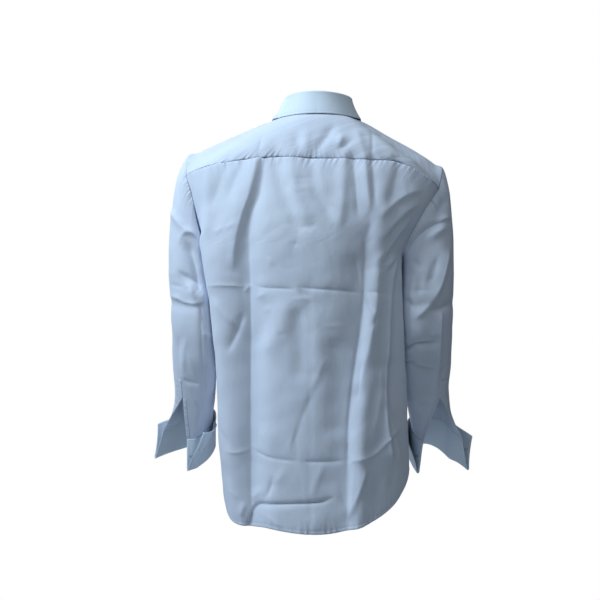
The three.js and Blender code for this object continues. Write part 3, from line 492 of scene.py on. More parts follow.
def cuff_surface(side, along, out, down, opened):
    """Cuff table read at that height, moved out along its own normal; near both ends the turned-back
    layer opens by a power of its share."""
    ends = CUFF_ENDS[side]
    low = down / CUFF_DEPTH
    place_out, place_back = cuff_place(side, along, low)
    before = cuff_place(side, np.maximum(along - 0.01, 0), low)
    after = cuff_place(side, np.minimum(along + 0.01, 1), low)
    tangent = unit(np.stack([after[0] - before[0], after[1] - before[1]], axis=-1))
    share = opened**CUFF_OPENING
    near_outer = smooth(1 - along / CUFF_FLARE_REACH)
    at_outer = near_outer * share
    near_inner = smooth(1 - (1 - along) / CUFF_FLARE_REACH)
    at_inner = near_inner * share
    down = down * (1 - ends["short"] * near_outer - ends["inner_short"] * near_inner)
    away = out + CUFF_LEAN * share + ends["outer"] * at_outer + ends["inner"] * at_inner * near_inner
    slant = -ends["inner_slant"] * at_inner
    sideways = place_out - tangent[..., 1] * away + tangent[..., 0] * slant
    backwards = place_back + tangent[..., 0] * away + tangent[..., 1] * slant
    seam = sleeve_axis(side, SEAM_Z)
    foot = on_sleeve(side, seam, sideways, backwards)
    tilt = np.radians(seam["tilt"])
    rise = ends["inner_rise"] * at_inner + ends["outer_rise"] * at_outer
    sag = ends["sag"] * hump(along - CUFF_SAG_PLACE, CUFF_SAG_WIDTH) * low
    fallen = down * np.cos(tilt) + cuff_fall(side, place_out) - rise + sag
    return foot + stack(0, -down * np.sin(tilt), -fallen)


# Collar

def collar_lift(turn):
    share = (turn - YOKE_FRONT_TURN) / (BAND_TURN - YOKE_FRONT_TURN)
    return lift_at(lerp(SHOULDER_SHARE, 1, share))


def stand_surface(turn, up):
    """Neck loop carried up and drawn in evenly, from the neck seam (0) to the top edge (1)."""
    foot = neck_loop(turn)
    narrower = 1 - STAND_LEAN * up
    height = STAND_MEAN + STAND_CHANGE * np.cos(np.radians(turn))
    y = NECK_MIDDLE + (foot[..., 1] - NECK_MIDDLE) * narrower - collar_lift(turn)
    return stack(foot[..., 0] * narrower, y, foot[..., 2] + height * up)


def leaf_profile(step):
    """Out, up and fallen share of the leaf's rows: up the inside, half a circle over the fold, down."""
    bend = np.radians(np.linspace(0, 180, 13))
    fall = np.linspace(0, 1, round(LEAF_FALL / step) + 1)[1:]
    over = LEAF_FOLD - LEAF_WALL - LEAF_FOLD * np.cos(bend)
    out = np.concatenate([[-LEAF_WALL], over, 0 * fall + 2 * LEAF_FOLD - LEAF_WALL])
    up = np.concatenate([[LEAF_FOOT], LEAF_RISE + LEAF_FOLD * np.sin(bend), 0 * fall + LEAF_RISE])
    return out, up, np.concatenate([[0], 0 * bend, fall])


def leaf_surface(turn, out, up, fall):
    """Top edge of the stand moved out and down by the leaf table, as a power of the fallen share."""
    size = np.abs(turn)
    slanting = smooth((size - LEAF_SLANT_START) / (LEAF_END_TURN - LEAF_SLANT_START))
    here = turn - np.sign(turn) * LEAF_SLANT * slanting * fall
    size = np.abs(here)
    reach = lerp(out, read(LEAF, "turn", "out", size), fall**LEAF_CURVE)
    top = stand_surface(here, 1.0)
    drop = read(LEAF, "turn", "drop", size) * fall
    angle = np.radians(here)
    return top + stack(reach * np.sin(angle), reach * np.cos(angle), up - drop)


# Creases: what each follows, its height (below 0 a trough), how far it reaches towards the light and
# away from it, its sharpness from 0 to 1, and the places (x, z) that it runs through.

TO_LIGHT = np.array([1, 0.6])
CREASE_STEP, CREASE_FADE, CREASE_END, CREASE_GAIN, CREASE_REACH = 2.0, 30.0, 0.45, 1.4, 3
CUSP_FALL = 1.1                # how fast a sharp crease falls off
LINE_WIDTH, LINE_SHARE = 2.6, 0.45      # the thin line that a sharp crease leaves
FACING_FADE, SEWN_START, SEWN_REACH = 0.25, 0.15, 12.0

BACK_CREASES = (
    ("left ridge below the yoke", 3.4, 14, 8, 0.4, (106, -58), (125, -139), (140, -184), (153, -239),
     (157, -290)),
    ("trough beside it", -2.4, 8, 11, 0.4, (96, -58), (108, -139), (121, -175), (129, -207), (127, -268)),
    ("gather", -2.2, 13, 12, 0, (82, -52), (64, -139), (50, -172), (39, -197), (17, -212)),
    ("gather", 2, 12, 12, 0, (49, -52), (42, -139), (30, -175), (10, -208)),
    ("gather", -2.4, 12, 11, 0.2, (14, -52), (3, -141), (-12, -165), (-30, -200)),
    ("gather", 2.4, 13, 10, 0, (-50, -52), (-45, -157), (-36, -215)),
    ("gather", -2.2, 8, 12, 0.4, (-64, -52), (-71, -139), (-76, -196)),
    ("gather", 2.2, 10, 8, 0.2, (-84, -52), (-93, -139), (-99, -190)),
    ("gather", -1.8, 6, 10, 0.6, (-101, -52), (-103, -120), (-106, -172)),
    ("gather", -2.4, 10, 14, 0.2, (-158, -62), (-140, -140), (-129, -178)),
    ("gather", -1.8, 10, 14, 0.2, (160, -62), (186, -135), (199, -180)),
    ("gather", -1.6, 9, 12, 0.2, (126, -58), (156, -124), (170, -165)),
    ("gather", 1.6, 10, 12, 0, (200, -74), (208, -160), (202, -230)),
    ("wrinkle to the right armhole", 2.6, 12, 7, 0.5, (-206, -131), (-171, -142), (-142, -161),
     (-112, -192)),
    ("wrinkle to the right armhole", 2.4, 11, 7, 0.5, (-200, -153), (-166, -175), (-136, -205),
     (-113, -238)),
    ("wrinkle to the right armhole", 2.6, 12, 6, 0.6, (-178, -184), (-144, -227), (-122, -259),
     (-103, -290)),
    ("wrinkle to the right armhole", 2, 10, 6, 0.6, (-160, -232), (-135, -270), (-114, -300)),
    ("short wrinkle", -1.1, 4, 5, 0.8, (50, -117), (30, -118), (8, -115)),
    ("short wrinkle", -0.9, 4, 5, 0.8, (45, -127), (26, -127), (6, -124)),
    ("short wrinkle", -1.2, 4, 6, 0.8, (38, -207), (16, -206), (-3, -200)),
    ("short wrinkle", 1.1, 5, 5, 0.8, (176, -210), (160, -202), (143, -193)),
    ("short wrinkle", 1, 5, 5, 0.8, (197, -215), (184, -211), (169, -204)),
    ("short wrinkle", -1.2, 5, 5, 0.8, (52, -236), (42, -239), (34, -236)),
    ("short wrinkle", 1.1, 5, 4, 0.8, (96, -262), (86, -268), (78, -280)),
    ("fold from the packet, left", 1.3, 7, 4, 0.9, (214, -314), (178, -313), (149, -314), (126, -314)),
    ("fold from the packet, middle", -2.1, 7, 12, 0.9, (122, -309), (102, -317), (69, -319), (34, -321)),
    ("fold from the packet, right", -2.6, 10, 14, 0.9, (42, -315), (12, -319), (-30, -322), (-60, -324),
     (-87, -329)),
    ("fold from the packet, right end", -1.3, 5, 8, 0.9, (-83, -329), (-100, -325), (-118, -327),
     (-145, -330)),
    ("centre fold from the packet", -0.7, 4, 4, 1, (14, -300), (13, -420), (14, -600), (14, -790)),
    ("left side ridge", 2.4, 9, 8, 0.8, (200, -330), (182, -356), (167, -373), (140, -396)),
    ("left side wedge", -3.2, 10, 6, 0.7, (134, -356), (149, -400), (171, -446)),
    ("left middle trough", -2.2, 16, 15, 0, (88, -325), (97, -369), (102, -400), (120, -440)),
    ("left middle ridge", 2.4, 18, 18, 0, (52, -330), (61, -373), (76, -410), (106, -445)),
    ("middle trough", -2.6, 16, 20, 0, (30, -345), (36, -390), (30, -440), (34, -500)),
    ("short wrinkle", 1.2, 5, 5, 0.8, (116, -337), (106, -333), (94, -326)),
    ("short wrinkle", 1.4, 5, 5, 0.8, (136, -328), (129, -318), (121, -308)),
    ("short wrinkle", 0.9, 4, 5, 0.8, (102, -362), (92, -357), (84, -349)),
    ("short wrinkle", -0.9, 4, 5, 0.8, (76, -402), (66, -403), (56, -400)),
    ("short wrinkle", -1.3, 5, 5, 0.8, (39, -316), (25, -329), (8, -342)),
    ("short wrinkle", 1, 5, 5, 0.8, (53, -338), (28, -338), (3, -335)),
    ("short wrinkle", 0.8, 5, 5, 0.8, (0, -385), (-32, -388), (-62, -385)),
    ("long thin wrinkle", -1.5, 5, 7, 0.8, (-6, -478), (3, -500), (24, -545), (50, -614)),
    ("long thin wrinkle", 1.2, 6, 6, 0.6, (-16, -440), (1, -485), (14, -530)),
    ("soft middle ridge", 1.6, 24, 20, 0, (0, -350), (-2, -420), (0, -480)),
    ("soft right trough", -2.4, 20, 22, 0, (-30, -400), (-38, -470), (-34, -560), (-28, -600)),
    ("line along the right strip", -2, 4, 6, 0.9, (-86, -215), (-87, -270), (-86, -330), (-81, -380),
     (-72, -440), (-62, -515), (-56, -580), (-56, -660)),
    ("triangle beside the strip", -2.6, 13, 8, 0.5, (-66, -250), (-74, -290), (-82, -326)),
    ("right edge of the back", 6.5, 16, 8, 0.7, (-150, -250), (-139, -300), (-134, -360), (-131, -430),
     (-126, -500), (-128, -570), (-140, -650)),
    ("crest along the right strip", 3, 14, 9, 0.4, (-114, -262), (-110, -320), (-108, -352),
     (-102, -390), (-93, -436), (-82, -480), (-75, -520)),
    ("wrinkle across the strip", -1.8, 5, 6, 0.8, (-86, -331), (-96, -349), (-109, -370)),
    ("hook beside the strip", -2, 5, 6, 0.7, (-107, -362), (-107, -377), (-98, -394)),
    ("second valley in the strip", -2, 6, 7, 0.7, (-81, -446), (-78, -492), (-71, -530)),
    ("ridge right of the strip", 2.6, 13, 12, 0.1, (-114, -455), (-113, -523), (-103, -578), (-96, -618)),
    ("trough right of it", -2, 10, 14, 0.1, (-127, -440), (-131, -500), (-124, -560)),
    ("wrinkle", 2, 9, 6, 0.6, (-131, -240), (-114, -261), (-101, -279)),
    ("wrinkle", 2, 9, 6, 0.6, (-150, -252), (-133, -270), (-113, -284)),
    ("second packet fold, left", 1.3, 6, 4, 0.9, (182, -619), (156, -624), (140, -622), (121, -615)),
    ("second packet fold, middle", -2.2, 8, 10, 0.9, (126, -614), (103, -625), (76, -631), (28, -635)),
    ("second packet fold, right", -2.4, 8, 9, 0.9, (36, -635), (-5, -636), (-56, -635)),
    ("second packet fold, right end", 2.2, 9, 6, 0.8, (-52, -642), (-66, -635), (-94, -629),
     (-108, -622), (-138, -593), (-166, -573)),
    ("left edge fold", -1.8, 6, 6, 0.7, (188, -576), (171, -600), (166, -624)),
    ("left edge fold", -1.4, 7, 7, 0.5, (182, -640), (170, -668), (160, -690)),
    ("wrinkle near the hem", 1.2, 6, 6, 0.6, (170, -690), (156, -702), (142, -713)),
    ("wrinkle near the hem", 2.6, 6, 5, 0.5, (134, -712), (139, -730), (144, -750)),
    ("tuck above the hem", -4.6, 4, 9, 0.9, (132, -786), (127, -752), (122, -737), (116, -725),
     (106, -717.5), (94, -716),
     (65, -713), (32, -711), (-1, -709), (-18, -705), (-33, -698)),
    ("left side of the tuck", 3.4, 8, 5, 0.6, (112, -716), (122, -732), (130, -762)),
    ("wrinkle below the tuck", 1.6, 7, 7, 0.6, (102, -732), (80, -746), (56, -763)),
    ("wrinkle above the tuck", -3.4, 5, 7, 0.8, (79, -655), (88, -686), (99, -714)),
    ("wrinkle above the tuck", 1.6, 9, 9, 0.2, (57, -642), (69, -664), (84, -684)),
    ("wrinkle above the tuck", 1.6, 8, 8, 0.3, (98, -682), (113, -701), (127, -712)),
    ("wrinkle above the packet fold", 1.2, 6, 5, 0.7, (37, -566), (47, -596), (58, -626)),
    ("wrinkle below the packet fold", 1.8, 7, 6, 0.5, (-14, -632), (3, -675), (12, -708)),
    ("wrinkle below the packet fold", 1.6, 12, 9, 0.2, (-24, -670), (-41, -710), (-58, -746)),
    ("sharp fold to the hem", 3.2, 15, 6, 0.5, (-92, -640), (-81, -677), (-69, -710), (-54, -748)),
    ("thin upright wrinkle", 1, 5, 5, 0.8, (-68, -636), (-65, -688), (-62, -734)),
    ("right side wrinkle", 1.8, 8, 6, 0.6, (-122, -500), (-135, -550), (-146, -591), (-160, -656)),
    ("right side trough", -2, 12, 12, 0.1, (-110, -650), (-112, -690), (-96, -730)),
    ("right side trough", -1.6, 10, 10, 0.1, (-138, -640), (-140, -676), (-128, -706)),
    ("middle hem swell", 1.8, 20, 20, 0, (10, -720), (4, -745), (0, -775)),
    ("left valley line", -2, 9, 5, 1, (128, -236), (124, -330), (124, -450), (123.5, -600), (122, -800)),
    ("low left swell", 2, 22, 18, 0, (100, -560), (92, -600), (100, -650)),
)
GATHERS = tuple(crease for crease in BACK_CREASES if crease[0] == "gather")
YOKE_CREASES = GATHERS + (
    ("right fold", -1.5, 3, 5, 0.9, (-104, -10), (-103, -40), (-101, -80)),
    ("left fold", -1.1, 5, 6, 0.9, (100, -18), (106, -50), (112, -84)),
    ("fold from the collar", -2.8, 10, 9, 0.2, (-38, -6), (-14, -42), (10, -76)),
    ("fold from the collar", 2.4, 8, 7, 0.2, (-50, -26), (-43, -44), (-36, -66)),
    ("fold from the collar", -2, 7, 7, 0.4, (-72, -38), (-52, -54), (-28, -66)),
    ("fold from the collar", -1.6, 10, 9, 0, (44, -20), (36, -50), (26, -78)),
    ("fold from the collar", 1.6, 10, 9, 0, (16, -16), (22, -48), (20, -78)),
    ("fold from the collar", 1.8, 9, 9, 0.2, (-70, -14), (-78, -40), (-86, -70)),
    ("fold from the collar", -1.3, 12, 12, 0, (72, -30), (78, -56), (80, -86)),
    ("soft fold above the seam", -2, 6, 9, 0.3, (-120, -76), (-150, -85), (-180, -94), (-226, -118)),
    ("wrinkle", -1.4, 5, 5, 0.6, (-138, -66), (-146, -74), (-156, -80)),
    ("wrinkle", 1.2, 6, 6, 0.4, (-168, -60), (-180, -76), (-196, -92)),
    ("wrinkle", -1, 9, 9, 0, (150, -60), (170, -76), (196, -90)),
)
SLEEVE_CREASES = {
    1: (
        ("ridge to the armpit", 2.2, 8, 7, 0.4, (288, -158), (257, -199), (236, -214), (222, -224)),
        ("pocket under the arm", -4, 10, 9, 0.1, (252, -224), (238, -250), (226, -290), (216, -336)),
        ("rim of the pocket", 2, 6, 5, 0.6, (262, -236), (256, -220), (246, -212), (236, -214),
         (226, -228), (218, -262)),
        ("elbow crease", -3, 6, 12, 0.7, (270, -282), (248, -296), (228, -308), (216, -314)),
        ("star at the elbow", 1.8, 6, 5, 0.8, (254, -318), (240, -313), (232, -328), (222, -327)),
        ("star at the elbow", 1.7, 6, 5, 0.7, (242, -310), (232, -332), (222, -350)),
        ("arc below the elbow", 2.2, 6, 5, 0.7, (292, -330), (264, -336), (249, -343), (229, -346),
         (206, -341)),
        ("triangle below the arc", -2.2, 5, 10, 0.6, (224, -342), (219, -358), (206, -398)),
        ("pressed line", -1, 4, 5, 0.9, (219, -346), (218, -440), (219, -540)),
        ("wrinkle", 1.5, 5, 5, 0.7, (218, -402), (206, -406), (194, -404)),
        ("upright ridge", 1.3, 8, 7, 0.3, (248, -405), (256, -452), (259, -488)),
        ("upright trough", -1.4, 7, 8, 0.3, (263, -400), (269, -452), (265, -492)),
        ("upright wrinkle", 1.4, 6, 5, 0.6, (247, -428), (241, -462), (233, -498)),
        ("wrinkle at the slit", -2, 4, 6, 0.8, (266, -494), (248, -499), (222, -505)),
        ("inner ridge", 2, 9, 9, 0.2, (192, -450), (200, -490), (209, -530)),
        ("wrinkle to the cuff", 1.6, 7, 7, 0.4, (250, -520), (232, -556), (216, -590)),
        ("wrinkle to the cuff", -1.6, 7, 7, 0.4, (242, -530), (226, -566), (212, -596)),
        ("packet fold", -0.8, 4, 5, 0.9, (290, -310), (262, -314), (244, -318)),
    ),
    -1: (
        ("pressed line above the elbow", 3.2, 12, 7, 0.6, (-252, -236), (-243, -280), (-232, -317),
         (-212, -350), (-178, -380)),
        ("crease beside it", -2, 7, 6, 0.4, (-230, -250), (-220, -290), (-205, -325)),
        ("elbow crease", -2.4, 6, 7, 0.7, (-208, -362), (-233, -356), (-262, -344)),
        ("pressed line below the elbow", 2, 14, 6, 0.8, (-237, -350), (-236, -440), (-235, -545)),
        ("deep elbow crease", -4.2, 8, 11, 0.7, (-240, -419), (-201, -422), (-181, -426), (-154, -442)),
        ("lower crease", -2.6, 6, 8, 0.7, (-152, -464), (-179, -459), (-197, -468), (-240, -475)),
        ("outer wrinkle", -1.6, 6, 6, 0.6, (-262, -458), (-246, -470), (-232, -480)),
        ("inner wrinkle", -1.6, 6, 6, 0.5, (-162, -334), (-178, -348), (-194, -361)),
        ("inner wrinkle", -1.4, 6, 6, 0.5, (-204, -285), (-190, -272), (-176, -260)),
        ("crease from the armpit", -2.8, 8, 10, 0.5, (-250, -188), (-222, -199), (-200, -212),
         (-180, -233), (-168, -264)),
        ("ridge above it", 2, 7, 6, 0.5, (-262, -180), (-240, -186), (-226, -196)),
        ("head trough", -2, 10, 10, 0, (-257, -132), (-240, -160), (-222, -194)),
        ("soft ridge", 2.4, 10, 10, 0.1, (-196, -228), (-226, -212), (-258, -192)),
        ("wrinkle at the slit", -1.6, 6, 6, 0.6, (-190, -541), (-212, -541), (-234, -536)),
        ("soft trough", -1.8, 9, 9, 0, (-190, -280), (-194, -310), (-188, -344)),
        ("low wrinkle", 1.5, 8, 8, 0.3, (-176, -500), (-192, -530), (-206, -562)),
        ("low wrinkle", -1.5, 8, 8, 0.2, (-200, -492), (-214, -512), (-222, -530)),
        ("packet fold", -0.9, 4, 5, 0.9, (-168, -318), (-196, -322), (-226, -320)),
    ),
}
# Creases on the front of each sleeve and of each front, for the left side; the right ones are mirrored.
SLEEVE_FRONT_CREASES = (
    ("inner elbow crease", -4, 8, 10, 0.6, (276, -352), (250, -362), (226, -360), (206, -346)),
    ("inner elbow crease", -3.4, 7, 9, 0.6, (280, -388), (252, -402), (226, -398), (204, -384)),
    ("inner elbow crease", -2.6, 7, 8, 0.5, (272, -430), (250, -440), (222, -432)),
    ("head fold", -2.4, 10, 10, 0.1, (262, -140), (254, -190), (240, -240)),
    ("head fold", 2, 9, 9, 0.2, (246, -130), (244, -180), (232, -232)),
    ("armpit wrinkle", -2.6, 8, 9, 0.5, (276, -216), (250, -226), (226, -246)),
    ("armpit wrinkle", 2.2, 8, 7, 0.5, (278, -236), (252, -252), (228, -280)),
    ("upright fold", 1.8, 10, 8, 0.3, (262, -450), (258, -510), (262, -570)),
    ("upright fold", -1.8, 8, 9, 0.3, (240, -460), (244, -520), (238, -580)),
)
FRONT_CREASES = (
    ("fold from the shoulder", -2.6, 12, 12, 0.1, (150, -70), (140, -130), (118, -200), (104, -290)),
    ("fold from the shoulder", 2.2, 12, 10, 0.2, (128, -70), (116, -130), (96, -200), (86, -280)),
    ("fold from the armpit", -2.8, 9, 11, 0.4, (206, -236), (172, -250), (138, -282), (112, -330)),
    ("fold from the armpit", 2.4, 9, 8, 0.4, (204, -262), (170, -282), (140, -318), (124, -362)),
    ("fold from the armpit", -1.8, 8, 9, 0.4, (200, -300), (176, -322), (152, -360)),
    ("packet fold", -2, 6, 8, 0.9, (196, -316), (120, -318), (60, -315), (18, -317)),
    ("second packet fold", -1.9, 6, 8, 0.9, (186, -622), (120, -628), (60, -624), (18, -626)),
    ("upright packet fold", -0.8, 4, 5, 1, (96, -110), (98, -300), (97, -520), (98, -770)),
    ("waist wrinkle", 1.8, 9, 8, 0.3, (180, -460), (146, -472), (108, -464)),
    ("waist wrinkle", -1.8, 8, 9, 0.4, (184, -492), (140, -510), (104, -506)),
    ("wrinkle", 1.4, 7, 6, 0.6, (70, -366), (52, -384), (44, -410)),
    ("wrinkle", -1.4, 6, 7, 0.6, (52, -470), (68, -498), (72, -530)),
    ("hem wrinkle", 2, 10, 9, 0.3, (126, -640), (132, -690), (126, -740)),
    ("hem wrinkle", -2, 10, 10, 0.3, (64, -660), (58, -700), (66, -752)),
    ("hem wrinkle", 1.6, 8, 7, 0.4, (160, -640), (156, -680), (164, -720)),
)


def mirrored(creases, side):
    """The same creases on the other side of the centre line."""
    return [(*crease[:5], *((side * x, z) for x, z in crease[5:])) for crease in creases]


def crease_push(x, z, creases):
    """Each crease runs along a smooth curve through its places. Across it the height falls off as a
    bell mixed with an exponential of the distance, and it fades in and out over its ends."""
    total = np.zeros(x.shape)
    for _, height, lit, far, sharp, *places in creases:
        places = np.array(places, float)
        along = np.concatenate([[0], np.cumsum(np.linalg.norm(np.diff(places, axis=0), axis=1))])
        at = np.linspace(0, along[-1], round(along[-1] / CREASE_STEP) + 1)
        rows = {"along": along, "x": places[:, 0], "z": places[:, 1]}
        curve = np.stack([read(rows, "along", name, at) for name in "xz"], axis=-1)
        reach = CREASE_REACH * max(lit, far)
        low, high = curve.min(axis=0) - reach, curve.max(axis=0) + reach
        near = (x > low[0]) & (x < high[0]) & (z > low[1]) & (z < high[1])
        if not near.any():
            continue
        here = np.stack([x[near], z[near]], axis=-1)
        nearest = np.linalg.norm(here[:, None] - curve[None], axis=-1).argmin(axis=1)
        way = unit(np.gradient(curve, axis=0))
        aside = np.stack([-way[:, 1], way[:, 0]], axis=-1)
        aside = aside * np.sign(aside.mean(axis=0) @ TO_LIGHT)
        away = ((here - curve[nearest]) * aside[nearest]).sum(axis=1)
        from_line = np.linalg.norm(here - curve[nearest], axis=-1) * np.sign(away)
        width = np.where(away > 0, lit, far)
        broad = np.exp(-CUSP_FALL * np.abs(from_line) / width)
        cusp = lerp(broad, np.exp(-np.abs(from_line) / LINE_WIDTH), LINE_SHARE)
        shape = CREASE_GAIN * lerp(hump(from_line, width), cusp, sharp)
        fade = min(CREASE_FADE, CREASE_END * along[-1])
        ends = np.minimum(at, along[-1] - at)[nearest]
        total[near] += height * shape * smooth(ends / fade)
    return total


WAVES, SHORT_WAVE, LONG_WAVE = 12, 45, 160


def uneven(cloth, seed, height):
    """Slight waves of the cloth: a sum of sines in seeded directions, 45 to 160 mm long."""
    random = np.random.default_rng(seed)
    total = 0
    for _ in range(WAVES):
        turn, phase = random.uniform(0, 2 * math.pi, 2)
        pace = 2 * math.pi / random.uniform(SHORT_WAVE, LONG_WAVE)
        along = cloth.points[..., 0] * math.cos(turn) + cloth.points[..., 2] * math.sin(turn)
        total = total + np.sin(pace * along + phase + cloth.points[..., 1] * pace / 2)
    return height * total / math.sqrt(WAVES)


def edge_dip(cloth, edges, depth=1.1, reach=2.6):
    """Cloth drawn in along its sewn edges."""
    return -depth * sum(np.exp(-cloth.from_edge(edge) / reach) for edge in edges)


# Cloth grids

NO_SEAM = 200.0


class Cloth:
    """A grid of outer points with its outward normals and the distances from its four edges."""

    def __init__(self, points, flip=False, tube_rows=0):
        self.points, self.flip, self.tube_rows = points, flip, tube_rows
        self.from_top = np.cumsum(self.steps(0), axis=0)
        self.from_start = np.cumsum(self.steps(1), axis=1)

    def steps(self, axis):
        length = np.linalg.norm(np.diff(self.points, axis=axis), axis=-1)
        return np.concatenate([np.zeros_like(np.take(length, [0], axis=axis)), length], axis=axis)

    def from_edge(self, edge):
        """Distance along the cloth from its top, bottom, start or end."""
        if edge in ("top", "bottom"):
            return self.from_top if edge == "top" else self.from_top[-1:] - self.from_top
        return self.from_start if edge == "start" else self.from_start[:, -1:] - self.from_start

    def normals(self):
        """Cross product of the way down and the way round at each point."""
        down, beside = np.gradient(self.points, axis=0), np.gradient(self.points, axis=1)
        if self.tube_rows:
            rows = slice(0, self.tube_rows)
            seam = (self.points[rows, 1] - self.points[rows, -2]) / 2
            beside[rows, 0], beside[rows, -1] = seam, seam
        normal = unit(np.cross(down, beside))
        return -normal if self.flip else normal

    def push(self, amount):
        """Moves each point out along its normal."""
        self.points = self.points + self.normals() * np.asarray(amount)[..., None]
        if self.tube_rows:
            self.points[:self.tube_rows, -1] = self.points[:self.tube_rows, 0]

    def crease(self, creases, facing, sewn=(), gain=1.0):
        """Pushes the creases into the side that faces the back (1) or the front (-1), fading them
        towards its sewn edges."""
        shown = gain * smooth(self.normals()[..., 1] * facing / FACING_FADE)
        for edge in sewn:
            shown = shown * smooth(SEWN_START + self.from_edge(edge) / SEWN_REACH)
        self.push(crease_push(self.points[..., 0], self.points[..., 2], creases) * shown)

    def at(self, rows, columns):
        """Points and normals between the rows and columns, each from its four neighbours."""
        rows, columns = np.broadcast_arrays(np.asarray(rows, float), np.asarray(columns, float))
        low = np.clip(rows.astype(int), 0, self.points.shape[0] - 2)
        left = np.clip(columns.astype(int), 0, self.points.shape[1] - 2)
        down, across = (rows - low)[..., None], (columns - left)[..., None]
        found = []
        for grid in (self.points, self.normals()):
            upper = lerp(grid[low, left], grid[low, left + 1], across)
            lower = lerp(grid[low + 1, left], grid[low + 1, left + 1], across)
            found.append(lerp(upper, lower, down))
        return found[0], unit(found[1])

    def inset(self, edge, distance):
        """Rows and columns of the line that runs this far inside an edge."""
        measure = self.from_edge(edge)
        across = edge in ("top", "bottom")
        measure = measure if across else measure.T
        reverse = measure[0, 0] > measure[-1, 0]
        rising = measure[::-1] if reverse else measure
        over = np.clip((rising < distance).sum(axis=0), 1, len(rising) - 1)
        others = np.arange(rising.shape[1])
        before, after = rising[over - 1, others], rising[over, others]
        place = over - 1 + (distance - before) / np.maximum(after - before, 1e-9)
        place = len(rising) - 1 - place if reverse else place
        return (place, others) if across else (others, place)

    def seam_places(self, seams):
        """Distance of each point from the nearest of its seams, and its place along that seam."""
        far, along = np.full(self.points.shape[:2], NO_SEAM), np.zeros(self.points.shape[:2])
        lines = {
            "top": self.from_start[:1], "bottom": self.from_start[-1:],
            "start": self.from_top[:, :1], "end": self.from_top[:, -1:],
        }
        for edge in seams:
            nearer = self.from_edge(edge) < far
            far = np.where(nearer, self.from_edge(edge), far)
            along = np.where(nearer, lines[edge], along)
        return far, along

    def part(self, rows, columns, lift):
        """The strip that lies on these rows and columns."""
        raised = self.points + self.normals() * lift
        return Cloth(raised[rows, columns], self.flip)


FINE_STEPS = 4000


def graded(length, step, *finer):
    """Shares from 0 to 1 along a length, closer together near each (place, reach, gain)."""
    fine = np.linspace(0, length, FINE_STEPS + 1)
    density = np.ones_like(fine) + sum(gain * hump(fine - place, reach) for place, reach, gain in finer)
    total = np.concatenate([[0], np.cumsum((density[1:] + density[:-1]) / 2)])
    count = round(total[-1] * length / FINE_STEPS / step)
    return np.interp(np.linspace(0, total[-1], count + 1), total, fine) / length


def made_mesh(name, points, faces, material, slot):
    """Piece from points in mm and faces, all with the same number of corners."""
    mesh = bpy.data.meshes.new(name)
    mesh.vertices.add(len(points))
    mesh.vertices.foreach_set("co", (points * MM).astype(np.float32).ravel())
    mesh.loops.add(faces.size)
    mesh.loops.foreach_set("vertex_index", faces.astype(np.int32).ravel())
    mesh.polygons.add(len(faces))
    mesh.polygons.foreach_set("loop_start", np.arange(0, faces.size, faces.shape[1], dtype=np.int32))
    mesh.update(calc_edges=True)
    mesh.shade_smooth()
    piece = bpy.data.objects.new(name, mesh)
    bpy.context.scene.collection.objects.link(piece)
    mesh.materials.append(material)
    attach(piece, "root")
    return piece


def mesh_of(name, cloth, material, slot, thickness, nodes=(), seams=()):
    """Cloth made a piece with its lengths as UV, its distance from the puckered seams as an attribute,
    and a wall on its inner side."""
    rows, columns = cloth.points.shape[:2]
    ids = np.arange(rows * columns).reshape(rows, columns)
    corners = [ids[:-1, :-1], ids[1:, :-1], ids[1:, 1:], ids[:-1, 1:]]
    quads = np.stack(corners[::-1] if cloth.flip else corners, axis=-1).reshape(-1, 4)
    shared = np.arange(rows * columns)
    shared[ids[:cloth.tube_rows, -1]] = ids[:cloth.tube_rows, 0]
    used, faces = np.unique(shared[quads], return_inverse=True)
    faces = faces.reshape(quads.shape)
    piece = made_mesh(name, cloth.points.reshape(-1, 3)[used], faces, material, slot)
    uv = np.stack([cloth.from_start, cloth.from_top], axis=-1).reshape(-1, 2)[quads.ravel()] * MM
    piece.data.uv_layers.new(name="UVMap").data.foreach_set("uv", uv.astype(np.float32).ravel())
    far, along = cloth.seam_places(seams)
    for title, values in (("seam", far), ("along", along)):
        stored = piece.data.attributes.new(title, "FLOAT", "POINT")
        stored.data.foreach_set("value", (values.ravel()[used] * MM).astype(np.float32))
    wall = piece.modifiers.new("wall", "SOLIDIFY")
    wall.thickness, wall.offset = thickness * MM, -1
    if nodes:
        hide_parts(*nodes)
    return piece


STITCH_PITCH, STITCH_LENGTH, STITCH_WIDTH, STITCH_RISE, STITCH_SINK = 2.5, 1.9, 0.26, 0.34, 0.1


def stitching(name, lines):
    """Rows of stitches: each is a spindle of four points between two tips, bowed up from the cloth."""
    found = []
    for points, normals in lines:
        along = np.concatenate([[0], np.cumsum(np.linalg.norm(np.diff(points, axis=0), axis=1))])
        starts = np.arange(STITCH_PITCH / 2, along[-1] - STITCH_PITCH, STITCH_PITCH)

        def on_line(values, distance):
            return np.stack([np.interp(distance, along, values[:, i]) for i in range(3)], axis=-1)

        first, last = on_line(points, starts), on_line(points, starts + STITCH_LENGTH)
        normal = unit(on_line(normals, starts + STITCH_LENGTH / 2))
        middle = (first + last) / 2
        side = unit(np.cross(last - first, normal)) * STITCH_WIDTH
        above, below = middle + normal * STITCH_RISE, middle - normal * STITCH_SINK
        found.append(np.stack([first, middle + side, above, middle - side, below, last], axis=1))
    spindles = np.concatenate(found)
    ring = np.array([1, 2, 3, 4])
    after = np.roll(ring, -1)
    faces = [(0, b, a) for a, b in zip(ring, after)] + [(5, a, b) for a, b in zip(ring, after)]
    all_faces = (np.array(faces)[None] + 6 * np.arange(len(spindles))[:, None, None]).reshape(-1, 3)
    return made_mesh(name, spindles.reshape(-1, 3), all_faces, THREAD_WITH_PAINTED_SHADE, "cloth")


# Materials

